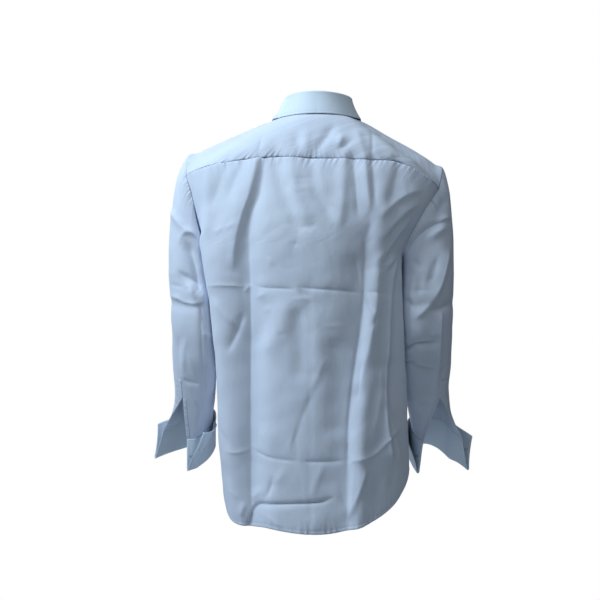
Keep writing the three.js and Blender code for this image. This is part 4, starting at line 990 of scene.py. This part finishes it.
def node(tree, kind, inputs=(), **settings):
    """New shader node; each input is a value or another node's output."""
    made = tree.nodes.new("ShaderNode" + kind)
    for name, value in settings.items():
        setattr(made, name, value)
    for socket, value in dict(inputs).items():
        if isinstance(value, bpy.types.NodeSocket):
            tree.links.new(value, made.inputs[socket])
        else:
            made.inputs[socket].default_value = value
    return made


def maths(tree, operation, *values):
    return node(tree, "Math", dict(enumerate(values)), operation=operation).outputs[0]


def noise(tree, vector, scale, detail=2.0):
    inputs = {"Vector": vector, "Scale": scale, "Detail": detail}
    return node(tree, "TexNoise", inputs).outputs["Fac"]


def cloth_group():
    """Height in metres and tone of poplin: fine ribs of the weave, small wrinkles that run along the cloth,
    and puckers square to the sewn seams that fade away from them. The tone mixes the cloth's own uneven
    patches with painted shade that darkens it near the seams."""
    tree = bpy.data.node_groups.new("poplin surface", "ShaderNodeTree")
    for direction, names in (("INPUT", ("Wrinkles", "Puckers")), ("OUTPUT", ("Height", "Tone"))):
        for name in names:
            tree.interface.new_socket(name, in_out=direction, socket_type="NodeSocketFloat")
    given, made = tree.nodes.new("NodeGroupInput"), tree.nodes.new("NodeGroupOutput")
    uv = node(tree, "UVMap", uv_map="UVMap").outputs["UV"]
    place = node(tree, "TexCoord").outputs["Object"]
    split = node(tree, "SeparateXYZ", {"Vector": uv})
    ribs = [
        maths(tree, "SINE", maths(tree, "MULTIPLY", split.outputs[axis], 2 * math.pi / pitch))
        for axis, pitch in (("X", WARP_PITCH), ("Y", WEFT_PITCH))
    ]
    weave = maths(tree, "MULTIPLY", maths(tree, "MULTIPLY", *ribs), WEAVE_HEIGHT)
    stretched = node(tree, "Mapping", {"Vector": uv, "Scale": (1.0, 0.45, 1.0)}).outputs["Vector"]
    wrinkle = maths(tree, "SUBTRACT", noise(tree, stretched, 42.0, 3.0), 0.5)
    folded = maths(tree, "ABSOLUTE", maths(tree, "SUBTRACT", noise(tree, place, 13.0, 1.0), 0.5))
    where = {"Value": noise(tree, place, 7.0), "From Min": 0.42, "From Max": 0.62}
    shown = node(tree, "MapRange", where).outputs["Result"]
    folds = maths(tree, "MULTIPLY", maths(tree, "MULTIPLY", folded, shown), FOLD_HEIGHT)
    small = maths(tree, "ADD", maths(tree, "MULTIPLY", wrinkle, WRINKLE_HEIGHT), folds)
    wrinkles = maths(tree, "MULTIPLY", small, given.outputs["Wrinkles"])
    seam = node(tree, "Attribute", attribute_name="seam").outputs["Fac"]
    fading = maths(tree, "EXPONENT", maths(tree, "MULTIPLY", seam, -1 / PUCKER_REACH))
    along = node(tree, "Attribute", attribute_name="along").outputs["Fac"]
    beside = maths(tree, "MULTIPLY", seam, 0.16)
    narrow = node(tree, "CombineXYZ", {"X": along, "Y": beside}).outputs["Vector"]
    pucker = maths(tree, "SUBTRACT", noise(tree, narrow, 95.0, 1.0), 0.5)
    puckers = maths(tree, "MULTIPLY", maths(tree, "MULTIPLY", pucker, fading), PUCKER_HEIGHT)
    puckers = maths(tree, "MULTIPLY", puckers, given.outputs["Puckers"])
    height = maths(tree, "ADD", maths(tree, "ADD", weave, wrinkles), puckers)
    tree.links.new(height, made.inputs["Height"])
    patches = noise(tree, place, 6.0, 4.0)
    # Painted shade: the tone darkens towards the sewn seams, where shade falls in their ditch and puckers.
    painted_seam_shade = maths(tree, "MULTIPLY", fading, 0.35)
    tree.links.new(maths(tree, "SUBTRACT", patches, painted_seam_shade), made.inputs["Tone"])
    return tree


WARP_PITCH, WEFT_PITCH, WEAVE_HEIGHT = 0.00042, 0.00036, 0.000012
WRINKLE_HEIGHT, FOLD_HEIGHT, PUCKER_HEIGHT, PUCKER_REACH = 0.0011, 0.0055, 0.0052, 0.010
CLOTH_GROUP = cloth_group()


def poplin(name, dark, pale, roughness, wrinkles, puckers):
    """Cloth material: tone mixes two shades, and the group's height drives a bump at true scale."""
    material = bpy.data.materials.new(name)
    material.use_nodes = True
    tree = material.node_tree
    surface = tree.nodes.new("ShaderNodeGroup")
    surface.node_tree = CLOTH_GROUP
    surface.inputs["Wrinkles"].default_value = wrinkles
    surface.inputs["Puckers"].default_value = puckers
    shade = node(tree, "MapRange", {"Value": surface.outputs["Tone"], "From Min": 0.3, "From Max": 0.7})
    colour = node(tree, "ValToRGB", {"Fac": shade.outputs["Result"]})
    colour.color_ramp.elements[0].color = (*dark, 1)
    colour.color_ramp.elements[1].color = (*pale, 1)
    bump = node(tree, "Bump", {"Height": surface.outputs["Height"], "Distance": 1.0, "Strength": 1.0})
    shader = tree.nodes["Principled BSDF"]
    tree.links.new(colour.outputs["Color"], shader.inputs["Base Color"])
    tree.links.new(bump.outputs["Normal"], shader.inputs["Normal"])
    shader.inputs["Roughness"].default_value = roughness
    shader.inputs["Sheen Weight"].default_value = 0.12
    shader.inputs["Sheen Roughness"].default_value = 0.5
    shader.inputs["Specular IOR Level"].default_value = 0.25
    return material


def pearl():
    """Button material: pale cloudy bands, glossy."""
    material = bpy.data.materials.new("pearl button")
    material.use_nodes = True
    tree = material.node_tree
    place = node(tree, "TexCoord").outputs["Object"]
    bands = node(tree, "TexWave", {"Vector": place, "Scale": 60.0, "Distortion": 7.0, "Detail": 2.0})
    colour = node(tree, "ValToRGB", {"Fac": bands.outputs["Fac"]})
    colour.color_ramp.elements[0].color = (0.66, 0.70, 0.74, 1)
    colour.color_ramp.elements[1].color = (0.88, 0.90, 0.92, 1)
    shader = tree.nodes["Principled BSDF"]
    tree.links.new(colour.outputs["Color"], shader.inputs["Base Color"])
    shader.inputs["Roughness"].default_value = 0.22
    shader.inputs["Coat Weight"].default_value = 0.4
    return material


def plain_material(name, colour, roughness):
    material = bpy.data.materials.new(name)
    material.use_nodes = True
    tree = material.node_tree
    place = node(tree, "TexCoord").outputs["Object"]
    shade = node(tree, "ValToRGB", {"Fac": noise(tree, place, 30.0)})
    shade.color_ramp.elements[0].color = (*(0.94 * value for value in colour), 1)
    shade.color_ramp.elements[1].color = (*colour, 1)
    shader = tree.nodes["Principled BSDF"]
    tree.links.new(shade.outputs["Color"], shader.inputs["Base Color"])
    shader.inputs["Roughness"].default_value = roughness
    return material


POPLIN = poplin("poplin", (0.69, 0.735, 0.85), (0.74, 0.785, 0.89), 0.8, 1.0, 1.0)
FUSED_POPLIN = poplin("fused poplin", (0.71, 0.785, 0.88), (0.76, 0.835, 0.92), 0.72, 0.25, 0.3)
# Thread darker than the cloth: partly the thread's own colour, partly painted shade along the stitched
# seams.
THREAD_WITH_PAINTED_SHADE = plain_material("thread", (0.54, 0.62, 0.73), 0.6)
BUTTON = pearl()

CLOTH_WALL, FUSED_WALL = 0.8, 1.2

# Back and yoke


SHIRT_CLOTH = (POPLIN, "cloth", CLOTH_WALL)
FUSED_CLOTH = (FUSED_POPLIN, "fused_cloth", FUSED_WALL)
ARMPIT_REACH, LOWER_REACH, BACK_REACH = 185, 500, 600
HEM_STITCH, HEM_MIDDLE, HEM_HALF, HEM_RISE = 6.5, 3.2, 3.2, 0.5


def turned_hem(cloth):
    """Soft swell of the folded hem and the groove of its stitches."""
    away = cloth.from_edge("bottom")
    cloth.push(HEM_RISE * hump(away - HEM_MIDDLE, HEM_HALF) - HEM_RISE * hump(away - HEM_STITCH, 1.4))


upper_downs = graded(ARMPIT_REACH, 3.3, (0, 14, 0.9))
lower_downs = graded(LOWER_REACH, 3.3, (53, 13, 1.0), (360, 16, 0.9), (445, 14, 0.7), (498, 10, 1.3))
downs = np.concatenate([upper_downs, 1 + lower_downs[1:]])
finer_across = ((0, 5, 1.2), (168, 18, 0.8), (378, 28, 0.9), (430, 18, 0.4), (BACK_REACH, 5, 1.2))
acrosses = graded(BACK_REACH, 3.4, *finer_across)
back = Cloth(back_surface(acrosses[None], downs[:, None]))
back.push(uneven(back, 3, 0.55))
back.crease(BACK_CREASES, 1, ["start", "end"])
back.push(edge_dip(back, ["top"], 0.7) + edge_dip(back, ["start", "end"], 0.2))
turned_hem(back)
back_piece = mesh_of("shirt_back", back, *SHIRT_CLOTH, ["back"], ["top", "bottom"])

YOKE_ROUNDS = 110              # times that the yoke's columns are evened out, away from its edges
yoke_across = YOKE_BACK_TURN * (1 - 2 * spaced(500, 2.4))
yoke_side = lerp(YOKE_BACK_TURN, YOKE_FRONT_TURN, graded(90, 2.6, (90, 4, 1))[1:])
turns = np.concatenate([yoke_side[::-1], yoke_across, -yoke_side])
yoke = Cloth(yoke_surface(turns[None], graded(130, 2.6, (0, 4, 1), (130, 6, 1.4))[:, None]))
inside = smooth(yoke.from_edge("bottom") / 22) * smooth(yoke.from_edge("top") / 6)
for _ in range(YOKE_ROUNDS):
    between = (yoke.points[:, :-2] + yoke.points[:, 2:]) / 2
    yoke.points[:, 1:-1] = lerp(yoke.points[:, 1:-1], between, 0.5 * inside[:, 1:-1, None])
yoke.push(uneven(yoke, 5, 0.5))
yoke.crease(YOKE_CREASES, 1)
yoke.push(edge_dip(yoke, ["bottom", "start", "end"], 0.8) + 0.7 * np.exp(-yoke.from_edge("bottom") / 9))
yoke_piece = mesh_of("shirt_yoke", yoke, *SHIRT_CLOTH, ["yoke"], ["bottom", "start", "end"])

# Fronts and button band

main_acrosses = graded(300, 3.6, (0, 5, 1.2), (155, 20, 0.4))
band_acrosses = 1 + graded(32, 1.6)[1:]
front_acrosses = np.concatenate([main_acrosses, band_acrosses])
front_lower = graded(480, 3.5, (53, 12, 0.8), (360, 14, 0.7), (478, 10, 1.2))
front_downs = np.concatenate([graded(190, 3.4, (0, 8, 1)), 1 + front_lower[1:]])
fronts, front_pieces = {}, {}
for side, name in ((1, "front_left"), (-1, "front_right")):
    cloth = Cloth(front_surface(side, front_acrosses[None], front_downs[:, None]), flip=side > 0)
    clear = smooth((1 - front_acrosses) / 0.12)[None]
    cloth.push(uneven(cloth, 7 + side, 0.6) * clear)
    before = cloth.points
    cloth.crease(mirrored(FRONT_CREASES, side), -1, ["top", "start"], 1.3)
    cloth.points = lerp(before, cloth.points, clear[..., None])
    cloth.push(edge_dip(cloth, ["top"], 0.8) + edge_dip(cloth, ["start"], 0.2))
    turned_hem(cloth)
    fronts[side] = cloth
    front_pieces[side] = mesh_of("shirt_" + name, cloth, *SHIRT_CLOTH, [name], ["top", "start"])

BAND_LIFT, BAND_STITCH, BAND_EDGE = 1.4, 5.5, 0.9
band_columns = slice(len(main_acrosses) - 1, None)
band = fronts[1].part(slice(None), band_columns, BAND_LIFT)
for edge in ("start", "end"):
    away = band.from_edge(edge)
    band.push(-0.45 * np.exp(-away / BAND_EDGE) - 0.4 * hump(away - BAND_STITCH, 1.0))
band_piece = mesh_of("shirt_placket_band", band, *SHIRT_CLOTH, ["placket_band"], ["start", "end"])

# Sleeves, plackets and cuffs

TOWER_TOP, TOWER_WIDTH, BINDING_WIDTH, STRIP_WALL, STRIP_LIFT = 36.0, 20.0, 10.0, 0.35, 0.45
ARM_STEP, SLEEVE_GAIN = 2.4, 1.5
sleeve_turns = SLIT_TURN + 360 * graded(330, 2.5, (0, 12, 0.8), (330, 10, 0.8))
cap_rows, arm_rows = graded(230, 2.5, (0, 8, 0.8)), graded(235, ARM_STEP)[1:]
slit_rows = graded(90, 3, (90, 8, 0.6))[1:]
sleeve_downs = np.concatenate([cap_rows, 1 + arm_rows, 2 + slit_rows])
slit_row = len(cap_rows) + len(arm_rows)
SHIRT_STRIP = (POPLIN, "cloth", STRIP_WALL)
CUFF_STITCH, FUSED_DIP, FUSED_EDGE = 5.0, 0.3, 0.8
cuffs, sleeve_pieces, cuff_pieces, strips = {}, {}, {}, {}
for side, name in ((1, "left"), (-1, "right")):
    grid = sleeve_surface(side, sleeve_turns[None], sleeve_downs[:, None])
    sleeve = Cloth(grid, flip=side > 0, tube_rows=slit_row)
    sleeve.push(uneven(sleeve, 11 + side, 0.6))
    sleeve.crease(SLEEVE_CREASES[side], 1, ["top", "bottom"], SLEEVE_GAIN)
    sleeve.crease(mirrored(SLEEVE_FRONT_CREASES, side), -1, ["top", "bottom"])
    sleeve.push(edge_dip(sleeve, ["bottom"], 0.6))
    sleeve_pieces[side] = mesh_of(
        "shirt_sleeve_" + name, sleeve, *SHIRT_CLOTH, ["sleeve_" + name], ["top", "bottom"])

    tower_row = slit_row - 1 - int(TOWER_TOP / ARM_STEP)
    width = int((sleeve.from_start[slit_row] < TOWER_WIDTH).sum())
    tower = sleeve.part(slice(tower_row, None), slice(0, width), STRIP_LIFT)
    tower_piece = mesh_of(
        "shirt_sleeve_placket_" + name, tower, *SHIRT_STRIP, ["sleeve_placket_" + name], ["end"])
    last = int((sleeve.from_edge("end")[slit_row] < BINDING_WIDTH).sum())
    binding = sleeve.part(slice(slit_row, None), slice(-last, None), STRIP_LIFT)
    binding_piece = mesh_of(
        "shirt_sleeve_binding_" + name, binding, *SHIRT_STRIP, ["sleeve_binding_" + name], ["start"])
    strips[side] = {"tower": (tower, tower_piece), "binding": (binding, binding_piece)}

    out, down, opened = (column[:, None] for column in cuff_profile(2.6))
    cuff = Cloth(cuff_surface(side, spaced(280, 2.4)[None], out, down, opened), flip=side > 0)
    for edge in ("start", "end"):
        away = cuff.from_edge(edge)
        cuff.push(-FUSED_DIP * hump(away - CUFF_STITCH, 1.0) - FUSED_DIP * np.exp(-away / FUSED_EDGE))
    away = cuff.from_edge("bottom")
    cuff.push(-FUSED_DIP * hump(away - CUFF_STITCH, 1.0) + uneven(cuff, 17 + side, 0.2))
    cuffs[side] = cuff
    cuff_pieces[side] = mesh_of(
        "shirt_cuff_" + name, cuff, *FUSED_CLOTH, ["cuff_" + name], ["top"])

# Collar

half = np.concatenate([
    YOKE_BACK_TURN * spaced(70, 2.2), lerp(YOKE_BACK_TURN, END_TURN, spaced(150, 2.2))[1:],
])
collar_turns = np.concatenate([half[::-1], -half[1:]])
stand = Cloth(stand_surface(collar_turns[None], 1 - spaced(30, 2.0)[:, None]))
stand_piece = mesh_of("shirt_collar_stand", stand, *FUSED_CLOTH, ["collar_stand"], ["bottom"])
leaf_turns = LEAF_END_TURN * (1 - 2 * spaced(440, 2.0))
out, up, fall = (column[:, None] for column in leaf_profile(2.0))
leaf = Cloth(leaf_surface(leaf_turns[None], out, up, fall))
COLLAR_STITCH = 6.0
# The leaf stands away from the neck on the wearer's right side.
RIGHT_BULGE, RIGHT_BULGE_TURN, RIGHT_BULGE_WIDTH = 6.0, -84.0, 34.0
unfolded = smooth(np.cumsum(np.ones_like(fall), axis=0) / 14) * (1 - 0.8 * fall)
bulge = RIGHT_BULGE * hump(leaf_turns[None] - RIGHT_BULGE_TURN, RIGHT_BULGE_WIDTH) * unfolded
outwards = np.radians(leaf_turns)[None]
leaf.points = leaf.points + stack(bulge * np.sin(outwards), bulge * np.cos(outwards), 0)
away = leaf.from_edge("bottom")
leaf.push(-0.25 * hump(away - COLLAR_STITCH, 1.0) - FUSED_DIP * np.exp(-away / FUSED_EDGE))
leaf.push(uneven(leaf, 23, 0.25))
leaf_piece = mesh_of("shirt_collar_leaf", leaf, *FUSED_CLOTH, ["collar_leaf"])


# Buttons and buttonholes

BUTTON_RADIUS, BUTTON_RIM, BUTTON_HEIGHT, BUTTON_DISH, BUTTON_ROUND = 5.5, 1.3, 2.4, 0.7, 0.5
HOLE_PLACE, HOLE_RADIUS, HOLE_DEPTH = 1.15, 0.62, 1.4
BUTTON_HEIGHTS = (-122, -213, -304, -395, -486, -577)
BUTTON_FOOT, STAND_FOOT, STAND_BUTTON_RISE = 1.95, 0.45, 0.45
BUTTONHOLE_LENGTH, BUTTONHOLE_WIDTH, BUTTONHOLE_THREAD, SEWING_THREAD = 16.0, 1.3, 0.5, 0.34
CENTRE_TURN = -180             # where the stand closes at the throat


def frame_at(normal):
    """Upright, sideways and outward directions of something sewn flat on the cloth."""
    up = unit(np.array([0, 0, 1]) - normal * normal[2])
    return up, np.cross(up, normal), normal


def placed(points, place, normal):
    up, sideways, out = frame_at(normal)
    return place + points[..., :1] * sideways + points[..., 1:2] * up + points[..., 2:] * out


def button_grid():
    """Rings out from the centre over a dished face with four holes and a rounded rim, then back in
    underneath; each as points x, y across the face and z out of it."""
    face = np.concatenate([np.linspace(0.05, 2.6, 22), np.linspace(2.9, BUTTON_RADIUS - BUTTON_ROUND, 9)])
    bend = np.radians(np.linspace(15, 165, 7))
    radius = np.concatenate([face, BUTTON_RADIUS - BUTTON_ROUND + BUTTON_ROUND * np.sin(bend), face[::-6]])
    turn = np.radians(np.linspace(0, 360, 49))
    x, y = radius[:, None] * np.sin(turn), radius[:, None] * np.cos(turn)
    dish = BUTTON_DISH * (1 - smooth((face - (BUTTON_RADIUS - 2.2 * BUTTON_RIM)) / BUTTON_RIM))
    edge = BUTTON_HEIGHT / 2 + (BUTTON_HEIGHT / 2) * np.cos(bend)
    height = np.concatenate([BUTTON_HEIGHT - dish, edge, 0 * face[::-6]])[:, None] + 0 * x
    for across in (-1, 1):
        for above in (-1, 1):
            away = np.hypot(x - across * HOLE_PLACE, y - above * HOLE_PLACE)
            sunk = HOLE_DEPTH * smooth((HOLE_RADIUS - away) / 0.25 + 0.5)
            height[:len(face)] -= sunk[:len(face)]
    return np.stack([x, y, height], axis=-1)


def tube(path, radius, closed=False, sides=8):
    """Points and faces of a round thread along a path."""
    before, after = (np.roll(path, 1, 0), np.roll(path, -1, 0)) if closed else (path, path)
    way = unit(after - before if closed else np.gradient(path, axis=0))
    beside = unit(np.cross(way, np.array([0.13, 0.21, 1.0])))
    above = np.cross(way, beside)
    turn = np.linspace(0, 2 * math.pi, sides, endpoint=False)[None, :, None]
    ring = path[:, None] + radius * (np.cos(turn) * beside[:, None] + np.sin(turn) * above[:, None])
    count = len(path)
    here = np.arange(count if closed else count - 1)[:, None]
    side = np.arange(sides)[None]
    further, beyond = (here + 1) % count, (side + 1) % sides
    corners = (here * sides + side, here * sides + beyond, further * sides + beyond, further * sides + side)
    quads = np.stack(np.broadcast_arrays(*corners), axis=-1).reshape(-1, 4)
    return ring.reshape(-1, 3), quads


def joined(parts):
    """Points and faces of several meshes as one."""
    starts = np.cumsum([0] + [len(points) for points, _ in parts[:-1]])
    faces = np.concatenate([quads + start for (_, quads), start in zip(parts, starts)])
    return np.concatenate([points for points, _ in parts]), faces


def sewing_threads(place, normal):
    """Two crossing threads through the four holes."""
    along = np.linspace(-1, 1, 9)
    rise = BUTTON_HEIGHT - BUTTON_DISH - 0.5 + 0.75 * (1 - along**4)
    reach = HOLE_PLACE * along
    lines = [np.stack([reach, across * reach, rise], axis=-1) for across in (-1, 1)]
    return [tube(placed(line, place, normal), SEWING_THREAD) for line in lines]


def buttonhole(place, normal, level=False):
    """Closed loop of thick thread round a slit, upright or level."""
    turn = np.radians(np.linspace(0, 360, 33)[:-1])
    half = BUTTONHOLE_LENGTH / 2
    lengthwise = np.clip(1.6 * np.cos(turn), -1, 1) * half
    sideways = np.sin(turn) * BUTTONHOLE_WIDTH
    flat = (lengthwise, sideways) if level else (sideways, lengthwise)
    loop = placed(np.stack([*flat, 0 * turn + 0.2], axis=-1), place, normal)
    return tube(loop, BUTTONHOLE_THREAD, closed=True)


def band_row(height):
    """Row of the band whose middle is at this height."""
    middle = band.points[:, band.points.shape[1] // 2, 2]
    return np.interp(-height, -middle, np.arange(len(middle)))


round_grid = button_grid()
grid_ids = np.arange(round_grid[..., 0].size).reshape(round_grid.shape[:2])
corners = (grid_ids[:-1, :-1], grid_ids[:-1, 1:], grid_ids[1:, 1:], grid_ids[1:, :-1])
round_quads = np.stack(corners, axis=-1).reshape(-1, 4)
middle_column = band.points.shape[1] // 2
places = [band.at(band_row(height), middle_column) for height in BUTTON_HEIGHTS]
stand_row = (1 - STAND_BUTTON_RISE) * (stand.points.shape[0] - 1)
stand_column = np.interp(CENTRE_TURN, -collar_turns, np.arange(len(collar_turns)))
places.insert(0, stand.at(stand_row, stand_column))
threads, holes = [], []
for number, (place, normal) in enumerate(places, start=1):
    foot = STAND_FOOT if number == 1 else BUTTON_FOOT - BAND_LIFT
    points = placed(round_grid, place + normal * foot, normal)
    button_piece = made_mesh(f"shirt_button_{number}", points.reshape(-1, 3), round_quads, BUTTON, "button")
    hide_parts(f"button_{number}")
    threads += sewing_threads(place + normal * foot, normal)
    holes.append(buttonhole(place + normal * 0.1, normal, level=number == 1))
made_mesh("shirt_button_threads", *joined(threads), THREAD_WITH_PAINTED_SHADE, "cloth")
band_holes = made_mesh("shirt_buttonholes", *joined(holes), THREAD_WITH_PAINTED_SHADE, "cloth")

CUFF_HOLE_INSET, CUFF_HOLE_SHARES = 13.0, (0.24, 0.77)
SIDE_NAMES = {1: "left", -1: "right"}
for side, cuff in cuffs.items():
    found = []
    for share in CUFF_HOLE_SHARES:
        row = share * (cuff.points.shape[0] - 1)
        for edge in ("start", "end"):
            _, columns = cuff.inset(edge, CUFF_HOLE_INSET)
            place, normal = cuff.at(row, columns[int(row)])
            found.append(buttonhole(place, normal, level=True))
    name = "shirt_cuff_holes_" + SIDE_NAMES[side]
    made_mesh(name, *joined(found), THREAD_WITH_PAINTED_SHADE, "fused_cloth")


# Stitches

SEAM_STITCH, ARMHOLE_STITCH, STRIP_STITCH = 2.2, 8.0, 1.8


def line_on(cloth, edge, distance, start=0, stop=None):
    """Points and normals of a row of stitches inside an edge, between two of its columns or rows."""
    rows, columns = cloth.inset(edge, distance)
    return cloth.at(rows[start:stop], columns[start:stop])


def lines_on(cloth, edges, distance):
    return [line_on(cloth, edge, distance) for edge in edges]


armhole_rows = len(upper_downs) + 2
back_stitches = stitching("stitching_back", [
    line_on(back, "bottom", HEM_STITCH),
    line_on(back, "start", ARMHOLE_STITCH, 2, armhole_rows),
    line_on(back, "end", ARMHOLE_STITCH, 2, armhole_rows),
])
yoke_stitches = stitching("stitching_yoke", lines_on(yoke, ("bottom", "start", "end"), SEAM_STITCH))
band_stitches = stitching("stitching_placket_band", lines_on(band, ("start", "end"), BAND_STITCH))
front_rows = int((front_downs <= 1).sum())
front_stitches = {
    side: stitching("stitching_front_" + SIDE_NAMES[side], [
        line_on(cloth, "bottom", HEM_STITCH), line_on(cloth, "start", ARMHOLE_STITCH, 2, front_rows),
    ])
    for side, cloth in fronts.items()
}
cuff_stitches, strip_stitches = {}, {}
for side, cuff in cuffs.items():
    name = SIDE_NAMES[side]
    lines = lines_on(cuff, ("start", "end", "bottom"), CUFF_STITCH) + lines_on(cuff, ("top",), SEAM_STITCH)
    cuff_stitches[side] = stitching("stitching_cuff_" + name, lines)
    tower, _ = strips[side]["tower"]
    lines = lines_on(tower, ("start", "end", "top"), STRIP_STITCH)
    strip_stitches[side] = stitching("stitching_sleeve_placket_" + name, lines)
collar_stitches = stitching("stitching_collar", lines_on(leaf, ("bottom", "start", "end"), COLLAR_STITCH))
stand_stitches = stitching("stitching_collar_stand", [line_on(stand, "bottom", SEAM_STITCH)])


# Tower and binding pieces of each side, unpacked

for side, piece in front_pieces.items():
    _, tower_piece = strips[side]["tower"]
    _, binding_piece = strips[side]["binding"]


# Light, floor and camera

FLOOR_Z = -1.5
CAMERA_PLACE = (0.032, 1.8, -0.34)
LENS = 923 / 600 * 36          # mm on a 36 mm sensor, so that 923 pixels of 600 are the focal length


def surroundings():
    world = bpy.data.worlds.new("studio")
    bpy.context.scene.world = world
    world.use_nodes = True
    nodes, links = world.node_tree.nodes, world.node_tree.links
    ambient = nodes["Background"]
    ambient.inputs["Color"].default_value = (0.84, 0.94, 1, 1)
    ambient.inputs["Strength"].default_value = 0.1
    seen = nodes.new("ShaderNodeBackground")
    seen.inputs["Color"].default_value = (1, 1, 1, 1)
    path, mix = nodes.new("ShaderNodeLightPath"), nodes.new("ShaderNodeMixShader")
    links.new(path.outputs["Is Camera Ray"], mix.inputs["Fac"])
    links.new(ambient.outputs["Background"], mix.inputs[1])
    links.new(seen.outputs["Background"], mix.inputs[2])
    links.new(mix.outputs["Shader"], nodes["World Output"].inputs["Surface"])


def area_light(name, place, target, size, watts, colour):
    light = bpy.data.lights.new(name, "AREA")
    light.shape = "RECTANGLE"
    light.size, light.size_y = size
    light.energy, light.color = watts, colour
    lamp = bpy.data.objects.new(name, light)
    bpy.context.scene.collection.objects.link(lamp)
    lamp.location = place
    way = np.array(target) - np.array(place)
    yaw = math.atan2(way[1], way[0])
    pitch = math.atan2(math.hypot(way[0], way[1]), -way[2])
    lamp.rotation_euler = (pitch, 0, yaw - math.pi / 2)
    return lamp


def floor_disc():
    """Disc of rings, wide enough for every view of the shirt."""
    turn = np.radians(np.linspace(0, 360, 97)[:-1])
    radius = np.linspace(0.05, 1.5, 12)
    ring = radius[:, None, None] * np.stack([np.cos(turn), np.sin(turn)], axis=-1)[None]
    points = np.concatenate([ring, np.full((*ring.shape[:2], 1), FLOOR_Z)], axis=-1).reshape(-1, 3)
    ids = np.arange(len(points)).reshape(ring.shape[:2])
    beside = np.roll(ids, -1, 1)
    quads = np.stack([ids[:-1], ids[1:], beside[1:], beside[:-1]], axis=-1).reshape(-1, 4)
    mesh = bpy.data.meshes.new("floor")
    mesh.from_pydata(points.tolist(), [], quads.tolist() + [ids[0].tolist()])
    floor = bpy.data.objects.new("floor", mesh)
    bpy.context.scene.collection.objects.link(floor)
    mesh.materials.append(plain_material("pale floor", (0.83, 0.86, 0.91), 0.7))


surroundings()
floor_disc()
area_light("window", (1.75, 0.92, 1.2), (0, 0, 0), (0.8, 1.0), 55, (0.70, 0.86, 1))
area_light("top", (-0.1, 0.95, 1.15), (0, 0, -0.1), (0.9, 0.9), 8, (0.78, 0.91, 1))
area_light("front", (1.3, -1.9, 0.8), (0, 0, -0.3), (0.9, 0.9), 16, (0.85, 0.94, 1))

camera = bpy.data.cameras.new("camera")
camera.lens, camera.sensor_width, camera.clip_end = LENS, 36, 50
view = bpy.data.objects.new("camera", camera)
bpy.context.scene.collection.objects.link(view)
view.location = CAMERA_PLACE
view.rotation_euler = (math.radians(90), 0, math.radians(180))
bpy.context.scene.camera = view
bpy.context.scene.view_settings.view_transform = "Standard"
